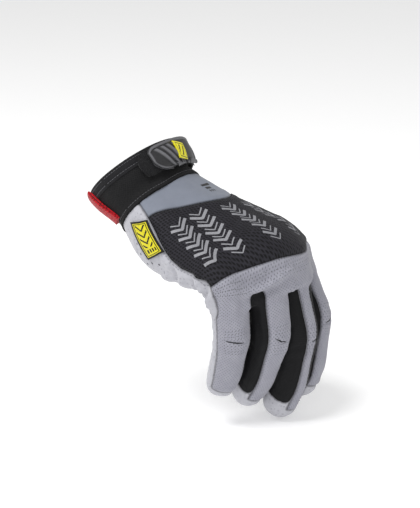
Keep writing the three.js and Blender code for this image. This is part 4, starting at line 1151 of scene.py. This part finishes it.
def ribbons(name, lines, wide, out, tapered=False, step=0.6):
    points, faces = [], []
    for k, line in enumerate(lines):
        line = np.asarray(line, float)
        run = runOf(line)
        count = max(3, int(math.ceil(run[-1] / step)) + 1)
        t = np.linspace(0, run[-1], count)
        path = np.stack([np.interp(t, run, line[:, i]) for i in range(3)], 1)
        spots, normals = onSkin(path)
        along = unit(np.gradient(spots, axis=0))
        across = unit(np.cross(normals, along))
        half = wide[k] / 2 if hasattr(wide, "__len__") else wide / 2
        share = np.sin(np.pi * np.linspace(0.02, 0.98, count)) ** 0.6 if tapered else np.ones(count)
        first = len(points)
        for p, a, r in zip(spots, across, share * half):
            points += [p - a * r, p, p + a * r]
        for i in range(count - 1):
            for m in range(2):
                q = first + i * 3 + m
                faces.append((q, q + 1, q + 4, q + 3))
    spots, _ = onSkin(np.array(points), out)
    piece = newPiece(name, toPart(spots), faces)
    addMap(piece.data, flatNear(spots))
    facingOut(piece, toPart([0, -50, 0]))
    return finish(piece, name)


def stretchAt(u, v):
    spot = bodySkin(np.array([u, u + 0.004, u]), np.array([v, v, v + 1.0]))
    return np.linalg.norm(spot[1] - spot[0]) / 0.004, np.linalg.norm(spot[2] - spot[0])


def motif(shape, u, v):
    acrossMm, alongMm = stretchAt(u, v)
    stops = [(u + x / acrossMm, v + y / alongMm) for x, y in shape]
    return bodyLine(stops, 25), stops


# generic tread print: columns of chevrons along the hand, a bold one and a fine one by turns
printed = {"columns": [0.098, 0.168, 0.238, 0.308, 0.378], "wide": 6.6, "rise": 4.6, "bold": 1.9, "fine": 0.8,
           "pitch": 6.6, "from": 58.0, "to": 122, "stagger": 2.5, "fineShare": 0.72, "afterBold": 0.62,
           "afterFine": 0.5, "mark": (0.276, 47.5), "markMm": 1.9, "out": 0.1}
bars, barWide = [], []
for k, at in enumerate(printed["columns"]):
    v = printed["from"] + (printed["stagger"] if k % 2 else 0.0)
    bold = True
    while v < printed["to"]:
        reach = printed["wide"] if bold else printed["wide"] * printed["fineShare"]
        low = -printed["rise"] * reach / printed["wide"] / 2
        shape = [(-reach, low), (0, printed["rise"] / 2), (reach, low)]
        line, stops = motif(shape, at, v)
        us, vs = np.array(stops).T
        clear = (vs > wristSeam(us) + 5).all() and (vs < knuckleSeam(us) - 4.5).all()
        if clear and (us > littleSeam(vs) + 0.03).all():
            bars.append(line)
            barWide.append(printed["bold"] if bold else printed["fine"])
        v += printed["pitch"] * printed["afterBold" if bold else "afterFine"] / max(stretchAt(at, v)[1], 0.5)
        bold = not bold
printPiece = ribbons("back_print", bars, barWide, printed["out"])
u, v = printed["mark"]
markLines = [motif([(-5.0, 0), (5.0, 0)], u, v - 2.2)[0], motif([(-5.0, 0), (1.5, 0)], u, v + 1.4)[0]]
markLines += [motif([(x, 0), (x + 1.2, 0)], u, v + 4.8)[0] for x in (-5.0, -2.4, 0.2)]
markPiece = ribbons("wrist_mark", markLines, printed["markMm"], printed["out"])
# painted shade: a dark ribbon along each knuckle slit, tapered at its ends
slitPiece = ribbons("knuckle_slits", [line for line, _ in slits], [wide for _, wide in slits], 0.12,
                    tapered=True)


def studs(name, points, normals, size, sides, high):
    verts, faces = [], []
    for p, n in zip(points, normals):
        side = unit(np.cross(n, [0.3, 0.5, 0.81]))
        other = np.cross(n, side)
        first = len(verts)
        for k in range(sides):
            a = 2 * math.pi * k / sides
            verts.append(p + (side * math.cos(a) + other * math.sin(a)) * size / 2 + n * high)
        faces.append(tuple(range(first, first + sides)))
    piece = newPiece(name, toPart(verts), faces)
    return finish(piece, name)


def stitchRow(path, normals, pitch, long, thick):
    run = runOf(path)
    verts, faces = [], []
    at = pitch / 2
    while at < run[-1] - pitch / 2:
        spot = np.array([np.interp(at, run, path[:, k]) for k in range(3)])
        ahead = np.array([np.interp(at + 0.4, run, path[:, k]) for k in range(3)])
        n = unit(np.array([np.interp(at, run, normals[:, k]) for k in range(3)]))
        d = unit(ahead - spot)
        side = unit(np.cross(n, d))
        n = np.cross(d, side)
        first = len(verts)
        for x, r in ((-0.5, 0.35), (-0.3, 0.95), (0.3, 0.95), (0.5, 0.35)):
            for k in range(5):
                a = 2 * math.pi * k / 5
                lift = n * (math.sin(a) * thick / 2 * r + (0.12 if abs(x) < 0.4 else -0.08))
                verts.append(spot + d * x * long + side * math.cos(a) * thick / 2 * r + lift)
        for i in range(first, first + 15, 5):
            for k in range(5):
                m = (k + 1) % 5
                faces.append((i + k, i + m, i + 5 + m, i + 5 + k))
        faces.append(tuple(first + k for k in range(4, -1, -1)))
        faces.append(tuple(first + 15 + k for k in range(5)))
        at += pitch
    return verts, faces


def stitches(name, rows, pitch=2.3, long=1.7, thick=0.5, out=0.05):
    verts, faces = [], []
    for path in rows:
        spots, normals = onSkin(path, out)
        for _ in range(4):
            normals[1:-1] = unit(normals[:-2] + normals[1:-1] * 2 + normals[2:])
        addOn(verts, faces, *stitchRow(spots, normals, pitch, long, thick))
    piece = newPiece(name, toPart(verts), faces)
    return finish(piece, name)


def bodyPath(u, v):
    return bodySkin(*np.broadcast_arrays(np.asarray(u, float), np.asarray(v, float)))


# stitches in millimetres: rows from the seam, pitch, length and thickness of the thread
sewing = {"fromSeam": 1.6, "fine": 0.42, "stout": 0.45, "cuffPitch": 2.0, "cuffLong": 1.75, "greyPitch": 2.2,
          "greyLong": 1.5, "greyFromSeam": 1.5, "outerFromSeam": 1.7}
around = np.linspace(0, 1, 300)
cuffVerts, cuffFaces = [], []
# the row 1.7 mm from the mouth is a painted highlight along the binding's edge, drawn as light stitches; the
# row at 5.2 mm and the one under the cuff's top edge are its stitching
for lineV, out in ((1.7 + 0 * around, 1.42), (5.2 + 0 * around, 1.2), (cuffEdge(around) - 3.2, 0.72)):
    spots = bodyPoint(around, lineV, np.full(300, out))
    normals = unit(bodyPoint(around, lineV, np.full(300, out + 1)) - spots)
    row = stitchRow(spots, normals, sewing["cuffPitch"], sewing["cuffLong"], sewing["fine"])
    addOn(cuffVerts, cuffFaces, *row)
cuffStitchesAndHighlight = finish(newPiece("cuff_stitches_and_highlight", toPart(cuffVerts), cuffFaces), "cuff_stitches_and_highlight")
us = np.linspace(0.045, 0.5, 160)
vs = np.linspace(60, 112, 80)
darkRows = [bodyPath(us, wristSeam(us) + sewing["fromSeam"]),
            bodyPath(littleSeam(vs) + sewing["fromSeam"] / ringMm, vs)]
darkStitches = stitches("dark_stitches", darkRows, thick=sewing["fine"], out=-0.02)
greyRows = []
for f in fingers:
    s = np.arange(24, f["length"] * 0.88, 1.5)
    degrees = sewing["greyFromSeam"] / (f["radius"] * math.pi / 180)
    greyRows.append(fingerSkin(f, stripEdge("little", f["name"], s) - degrees, s))
    greyRows.append(fingerSkin(f, degrees - stripEdge("thumb", f["name"], s), s))
greyRows.append(bodyPath(-0.006 + sewing["greyFromSeam"] / ringMm, np.linspace(114, 131, 20)))
greyStitches = stitches("grey_stitches", greyRows, pitch=sewing["greyPitch"],
                        long=sewing["greyLong"], thick=sewing["fine"])
palmSewn = [bodyPath(seams["thumbSide"] + sewing["fromSeam"] / ringMm, np.linspace(36, 128, 90)),
            bodyPath(littleSeam(vs) - sewing["outerFromSeam"] / ringMm, vs)]
palmStitches = stitches("palm_stitches", palmSewn, thick=sewing["stout"])

# vent holes in millimetres: three rows beside the knuckle seam, and rows on both sides of each slit
vents = {"size": 0.62, "seamRows": (2.6, 4.5, 6.4), "rowPitch": 1.75, "past": 14, "palmSize": 1.5,
         "palmAt": [(0.954, 44), (0.957, 54), (0.950, 62), (0.961, 68), (0.94, 50), (0.93, 58)],
         # share of the finger, and the two ends of its slit in degrees
         "slits": [(0.453, 80, 16), (0.463, 44, 0), (0.481, 24, 8), (0.497, 12, -30)]}
holes, holeNormals = [], []
for k, away in enumerate(vents["seamRows"]):
    u = np.arange(0.004 + (k % 2) * 0.0045, 0.40 - k * 0.06, 0.009)
    p, n = onSkin(bodyPath(u, knuckleSeam(u) + away))
    holes.append(p)
    holeNormals.append(n)
for f, (share, high, low) in zip(fingers, vents["slits"]):
    middle, half = (high + low) / 2, abs(high - low) / 2
    for k in range(-4, 5):
        if k == 0:
            continue
        s = share * f["length"] + k * vents["rowPitch"]
        reach = (half + vents["past"]) * (1 - abs(k) * 0.07)
        angles = np.arange(middle - reach + (k % 2) * 5, middle + reach, 10.5)
        p, n = onSkin(fingerSkin(f, angles, np.full(len(angles), s)))
        holes.append(p)
        holeNormals.append(n)
# painted shade: the vent holes are flat discs in the colour of the shade inside them, not openings
ventHoles = studs("vent_holes", np.concatenate(holes), np.concatenate(holeNormals), vents["size"],
                  sides=6, high=0.03)
# the palm vents are likewise flat discs of painted shade
p, n = onSkin(bodyPath(*zip(*vents["palmAt"])))
palmHoles = studs("palm_vents", p, n, vents["palmSize"], sides=10, high=0.05)
print("print, stitches and holes made")


# Materials
def colour(code, alpha=1.0):
    parts = [int(code[k:k + 2], 16) / 255 for k in (1, 3, 5)]
    return tuple(c / 12.92 if c <= 0.04045 else ((c + 0.055) / 1.055) ** 2.4 for c in parts) + (alpha,)


def addNode(tree, kind, inputs=None, **values):
    made = tree.nodes.new(kind)
    for key, value in values.items():
        setattr(made, key, value)
    for key, value in (inputs or {}).items():
        if isinstance(value, bpy.types.NodeSocket):
            tree.links.new(value, made.inputs[key])
        else:
            made.inputs[key].default_value = value
    return made


# One row per material. Sizes are millimetres on the cloth: "pitch" across and along, "turn" in degrees,
# "deep" the relief, "mottle" the size of the cloudy change of tone, "fuzz" the share of fine grain in it.
# "line" is the tone in the weave's gaps. Weaves finer than the picture's grain are drawn about twice as
# coarse as they are, or they would vanish.
looks = {
    # brushed synthetic suede: pale grey, matt, a soft sheen at the edges, sparse pinholes
    "suede": {"tint": "#b3b3b9", "shade": "#a2a2a9", "line": "#84848c", "kind": "pinholes",
              "pitch": (2.3, 2.3), "deep": 0.22, "mottle": 2.4, "fuzz": 0.55, "sheen": 0.35,
              "rough": 0.92},
    # dark stretch knit: slanted rows of short raised dashes
    "darkKnit": {"tint": "#2c2b31", "shade": "#222126", "line": "#080809", "kind": "dashes",
                 "pitch": (1.25, 3.3), "turn": 28, "deep": 0.4, "mottle": 5.0, "fuzz": 0.4, "sheen": 0.03,
                 "rough": 0.66},
    # grey perforated knit: a fine even mesh of holes
    "greyKnit": {"tint": "#9898a1", "shade": "#8b8b95", "line": "#62626b", "kind": "pores",
                 "pitch": (1.45, 1.45), "turn": 45, "pore": 0.3, "deep": 0.22, "mottle": 4.0, "fuzz": 0.35,
                 "sheen": 0.2, "rough": 0.88},
    # black stretch cloth between the fingers: smooth, with a slight shine
    "wallCloth": {"tint": "#151517", "shade": "#101012", "line": "#060607", "kind": "ribs",
                  "pitch": (0.9, 0.9), "turn": 90, "deep": 0.12, "mottle": 5.0, "fuzz": 0.3, "sheen": 0.03,
                  "rough": 0.6},
    # smooth blue-grey jersey: hardly any texture
    "wristKnit": {"tint": "#7e838f", "shade": "#777c88", "line": "#70757f", "kind": "ribs",
                  "pitch": (0.85, 0.85), "turn": 90, "deep": 0.07, "mottle": 6.0, "fuzz": 0.3,
                  "sheen": 0.2, "rough": 0.8},
    # cuff: charcoal jersey on foam rubber, fine grain with a little lint
    "neoprene": {"tint": "#222223", "shade": "#1a1a1b", "line": "#0e0e0f", "kind": "dashes",
                 "pitch": (0.9, 1.7), "turn": 90, "deep": 0.12, "mottle": 3.0, "fuzz": 0.5, "sheen": 0.04,
                 "rough": 0.85},
    # cuff binding: ribbed tape, a shade lighter than the cuff
    "binding": {"tint": "#252527", "shade": "#1c1c1e", "line": "#101012", "kind": "ribs",
                "pitch": (1.1, 1.1), "turn": 0, "deep": 0.14, "mottle": 3.0, "fuzz": 0.4, "sheen": 0.05,
                "rough": 0.8},
    # loop patch and strap: black brushed pile, dusty specks
    "pile": {"tint": "#28282a", "shade": "#0f0f10", "line": "#060607", "kind": "pores",
             "pitch": (0.8, 0.8), "turn": 17, "pore": 0.3, "deep": 0.5, "mottle": 0.9, "fuzz": 0.9,
             "sheen": 0.1, "rough": 0.97},
    # moulded rubber tab: dark field, with a painted highlight in grey on its raised rim and ribs
    "rubber": {"tint": "#2a2a2c", "shade": "#222224", "deep": 0.05, "mottle": 1.5, "fuzz": 0.25,
               "sheen": 0.0, "rough": 0.48, "ridgeHighlight": "#68686c"},
    # yellow moulded print with black figures
    "badge": {"tint": "#ece32a", "shade": "#d8ce20", "deep": 0.04, "mottle": 2.0, "fuzz": 0.2,
              "sheen": 0.0, "rough": 0.5, "ink": "#161614"},
    # woven label: yellow and black satin weave
    "label": {"tint": "#e9df2c", "shade": "#d3c81c", "line": "#9b9210", "kind": "ribs",
              "pitch": (0.62, 0.62), "turn": 90, "deep": 0.1, "mottle": 2.0, "fuzz": 0.25, "sheen": 0.25,
              "rough": 0.62, "ink": "#121210"},
    # red webbing of the pull loop: coarse weave with a slight sheen
    "webbing": {"tint": "#c4101f", "shade": "#9c0c18", "line": "#5f060e", "kind": "dashes",
                "pitch": (0.9, 1.5), "turn": 0, "deep": 0.25, "mottle": 2.5, "fuzz": 0.35, "sheen": 0.2,
                "rough": 0.7},
    # grey screen print on the dark knit, slightly worn
    "print": {"tint": "#8e8e93", "shade": "#75757a", "deep": 0.15, "mottle": 1.1, "fuzz": 0.5,
              "sheen": 0.0, "rough": 0.55},
    # black screen print on the wrist panel, matt
    "darkPrint": {"tint": "#1d1d20", "shade": "#121214", "deep": 0.05, "mottle": 1.4, "fuzz": 0.4,
                  "sheen": 0.0, "rough": 0.5},
    # charcoal sewing thread, just lighter than the cuff; on the row nearest the mouth it is a painted
    # highlight along the binding's edge
    "cuffThreadAndHighlight": {"tint": "#55555a", "shade": "#3c3c40", "deep": 0.05, "mottle": 0.8, "fuzz": 0.3,
                   "sheen": 0.1, "rough": 0.6},
    # black sewing thread, lost in the dark knit but for its relief
    "blackThread": {"tint": "#1c1c1f", "shade": "#141416", "deep": 0.05, "mottle": 0.8, "fuzz": 0.3,
                    "sheen": 0.2, "rough": 0.6},
    # grey sewing thread, a shade darker than the knit and the suede
    "greyThread": {"tint": "#85858c", "shade": "#6a6a72", "deep": 0.05, "mottle": 0.8, "fuzz": 0.3,
                   "sheen": 0.2, "rough": 0.6},
    # the shade inside the vent holes
    "hole": {"tint": "#5a5a61", "shade": "#45454c", "deep": 0.02, "mottle": 1.0, "fuzz": 0.3, "sheen": 0.0,
             "rough": 0.9},
    # the near-black shade inside the knuckle slits
    "slit": {"tint": "#26262a", "shade": "#1a1a1d", "deep": 0.02, "mottle": 1.0, "fuzz": 0.3, "sheen": 0.0,
             "rough": 0.9},
}
# the finest grain of every cloth, and the cloths given painted shade beside their seams, where the seam
# grooves would shade
grainMm = 0.55
paintedShadeAtSeams = ("suede", "darkKnit", "greyKnit", "wallCloth", "wristKnit", "neoprene")


def mixed(tree, factor, a, b, **values):
    made = addNode(tree, "ShaderNodeMix", {"Factor": factor, "A": a, "B": b}, data_type="RGBA", **values)
    return made.outputs["Result"]


def ranged(tree, value, low, high, start=0.0, end=1.0, curve="SMOOTHSTEP"):
    made = addNode(tree, "ShaderNodeMapRange", {"Value": value, "From Min": low, "From Max": high,
                                                "To Min": start, "To Max": end}, interpolation_type=curve)
    return made.outputs["Result"]


def spun(tree, vector, degrees):
    made = addNode(tree, "ShaderNodeVectorRotate", {"Vector": vector, "Angle": math.radians(degrees)},
                   rotation_type="Z_AXIS")
    return made.outputs["Vector"]


# how far each spot lies in a gap, hole or groove of the weave, from 0 to 1
def weaveMark(tree, look, place):
    kind, pitch = look["kind"], look["pitch"]
    if kind == "pinholes":
        near = addNode(tree, "ShaderNodeTexVoronoi", {"Vector": place, "Scale": 1000 / pitch[0],
                                                      "Randomness": 0.8})
        return ranged(tree, near.outputs["Distance"], 0.3, 0.12, 0.0, 0.8)
    onCloth = addNode(tree, "ShaderNodeUVMap", uv_map="clothMap").outputs["UV"]
    inMm = addNode(tree, "ShaderNodeMapping", {"Vector": onCloth, "Scale": (1000, 1000, 1000)})
    along = spun(tree, inMm.outputs["Vector"], look["turn"])
    if kind == "ribs":
        waves = addNode(tree, "ShaderNodeTexWave", {"Vector": along, "Scale": 0.314 / pitch[0],
                                                    "Distortion": 0.4, "Detail Scale": 1.5})
        return waves.outputs["Fac"]
    if kind == "pores":
        dots = addNode(tree, "ShaderNodeTexVoronoi", {"Vector": along, "Scale": 1 / pitch[0],
                                                      "Randomness": 0.12}, voronoi_dimensions="2D")
        return ranged(tree, dots.outputs["Distance"], look["pore"], 0.08)
    # dashes: a square lattice, turned by 45 degrees and squeezed, so that every other row is shifted
    squeeze = (0.707 / pitch[0], 1.414 / pitch[1], 1)
    squeezed = addNode(tree, "ShaderNodeMapping", {"Vector": along, "Scale": squeeze}).outputs["Vector"]
    dots = addNode(tree, "ShaderNodeTexVoronoi", {"Vector": spun(tree, squeezed, 45), "Scale": 1.0,
                                                  "Randomness": 0.2}, voronoi_dimensions="2D")
    return ranged(tree, dots.outputs["Distance"], 0.48, 0.16)


def makeMaterial(name):
    look = looks[name]
    material = bpy.data.materials.new(name)
    material.use_nodes = True
    tree = material.node_tree
    shader = tree.nodes["Principled BSDF"]
    place = addNode(tree, "ShaderNodeTexCoord").outputs["Object"]
    cloud = addNode(tree, "ShaderNodeTexNoise", {"Vector": place, "Scale": 1000 / look["mottle"],
                                                 "Detail": 3.0})
    grain = addNode(tree, "ShaderNodeTexNoise", {"Vector": place, "Scale": 1000 / grainMm, "Detail": 2.0})
    both = addNode(tree, "ShaderNodeMix", {"Factor": look["fuzz"], "A": cloud.outputs["Fac"],
                                           "B": grain.outputs["Fac"]}).outputs["Result"]
    spread = ranged(tree, both, 0.3, 0.7, curve="LINEAR")
    result, relief = mixed(tree, spread, colour(look["shade"]), colour(look["tint"])), both
    if "kind" in look:
        mark = weaveMark(tree, look, place)
        amount = addNode(tree, "ShaderNodeMath", {0: mark, 1: 0.55 if look["kind"] == "ribs" else 0.9},
                         operation="MULTIPLY").outputs["Value"]
        result = mixed(tree, amount, result, colour(look["line"]))
        raised = addNode(tree, "ShaderNodeMath", {0: 1.0, 1: mark}, operation="SUBTRACT").outputs["Value"]
        relief = addNode(tree, "ShaderNodeMath", {0: raised, 1: both}, operation="ADD").outputs["Value"]
    if "ink" in look:
        ink = addNode(tree, "ShaderNodeAttribute", attribute_name="ink").outputs["Fac"]
        result = mixed(tree, ranged(tree, ink, 0.35, 0.65, curve="LINEAR"), result, colour(look["ink"]))
    # painted highlight: the raised rim and ribs are mixed towards a lighter grey by their height
    if "ridgeHighlight" in look:
        ridgeHighlight = addNode(tree, "ShaderNodeAttribute", attribute_name="ridgeHighlight").outputs["Fac"]
        result = mixed(tree, ridgeHighlight, result, colour(look["ridgeHighlight"]))
    # painted shade: within about 1.3 mm of a seam the colour is darkened down to 0.42 of itself, standing in
    # for the shade in the seam groove
    if name in paintedShadeAtSeams:
        away = addNode(tree, "ShaderNodeAttribute", attribute_name="seamMm").outputs["Fac"]
        result = mixed(tree, 1.0, result, ranged(tree, away, 0.1, 1.3, 0.42, 1.0), blend_type="MULTIPLY")
    tree.links.new(result, shader.inputs["Base Color"])
    shader.inputs["Roughness"].default_value = look["rough"]
    shader.inputs["Sheen Weight"].default_value = look["sheen"]
    shader.inputs["Sheen Roughness"].default_value = 0.45
    shader.inputs["Specular IOR Level"].default_value = 0.14 if "kind" in look else 0.5
    bump = addNode(tree, "ShaderNodeBump", {"Strength": 0.75, "Distance": look["deep"] / 1000,
                                            "Height": relief})
    tree.links.new(bump.outputs["Normal"], shader.inputs["Normal"])
    return material


dressed = {
    "suede": [panelPieces["palm_panel"], panelPieces["thumb"]],
    "darkKnit": [panelPieces["back_panel"]],
    "greyKnit": [panelPieces["finger_back_panel"]],
    "wallCloth": [panelPieces["sidewall_pinky_ring"], panelPieces["sidewall_ring_middle"],
                  panelPieces["sidewall_middle_index"]],
    "wristKnit": [panelPieces["wrist_panel"]],
    "neoprene": [cuffPiece], "binding": [hemPiece], "pile": [patchPiece, strapPiece], "rubber": [tabPiece],
    "badge": [badgePiece], "label": [labelPiece], "webbing": [loopPiece],
    "print": [printPiece], "darkPrint": [markPiece],
    "blackThread": [darkStitches], "cuffThreadAndHighlight": [cuffStitchesAndHighlight],
    "greyThread": [greyStitches, palmStitches], "hole": [ventHoles, palmHoles], "slit": [slitPiece],
}
for name, pieces in dressed.items():
    material = makeMaterial(name)
    for piece in pieces:
        piece.data.materials.append(material)
print("materials made")

# Floor, lights and camera, placed by the fitted view
view = {"aim": (0.0, -0.0654, -0.0499), "toCamera": (-0.8535, -0.4617, 0.2414), "away": 1.0, "lens": 115.5,
        "shiftX": -0.0329, "shiftY": 0.0049}
floor = {"under": 0.002, "size": 16.0, "tint": "#fbfbfb", "glow": 0.22, "rough": 0.95}
# one row per lamp: place, breadth, watts
lamps = {"key_light": ((-0.9, 0.3, 1.7), 1.1, 27), "fill_light": ((-1.4, -0.9, 0.5), 1.4, 7)}
skyGlow = 0.56


def lampAt(name, spot, size, watts):
    bpy.ops.object.select_all(action="DESELECT")
    bpy.ops.object.light_add(type="AREA", location=spot)
    lamp = bpy.context.object
    lamp.name = name
    lamp.data.shape = "DISK"
    lamp.data.size = size
    lamp.data.energy = watts
    lamp.rotation_euler = (Vector(view["aim"]) - Vector(spot)).to_track_quat("-Z", "Y").to_euler()


low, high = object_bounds()
bpy.ops.object.select_all(action="DESELECT")
bpy.ops.mesh.primitive_plane_add(size=floor["size"], location=(0, 0, low.z - floor["under"]))
ground = bpy.context.object
ground.name = "floor"
sweep = bpy.data.materials.new("paper_sweep")
sweep.use_nodes = True
paper = sweep.node_tree.nodes["Principled BSDF"].inputs
paper["Base Color"].default_value = colour(floor["tint"])
paper["Roughness"].default_value = floor["rough"]
paper["Emission Color"].default_value = colour(floor["tint"])
paper["Emission Strength"].default_value = floor["glow"]
ground.data.materials.append(sweep)

bpy.ops.object.camera_add(location=Vector(view["aim"]) + Vector(view["toCamera"]) * view["away"])
camera = bpy.context.object
camera.rotation_euler = Vector(view["toCamera"]).to_track_quat("Z", "Y").to_euler()
camera.data.lens = view["lens"]
camera.data.sensor_width = 36
camera.data.shift_x = view["shiftX"]
camera.data.shift_y = view["shiftY"]
camera.data.clip_end = 20
bpy.context.scene.camera = camera

for name, (spot, size, watts) in lamps.items():
    lampAt(name, spot, size, watts)
world = bpy.data.worlds.new("studio")
bpy.context.scene.world = world
world.use_nodes = True
world.node_tree.nodes["Background"].inputs[0].default_value = (1, 1, 1, 1)
world.node_tree.nodes["Background"].inputs[1].default_value = skyGlow
bpy.context.scene.view_settings.view_transform = "Standard"
print("floor, lights and camera placed")
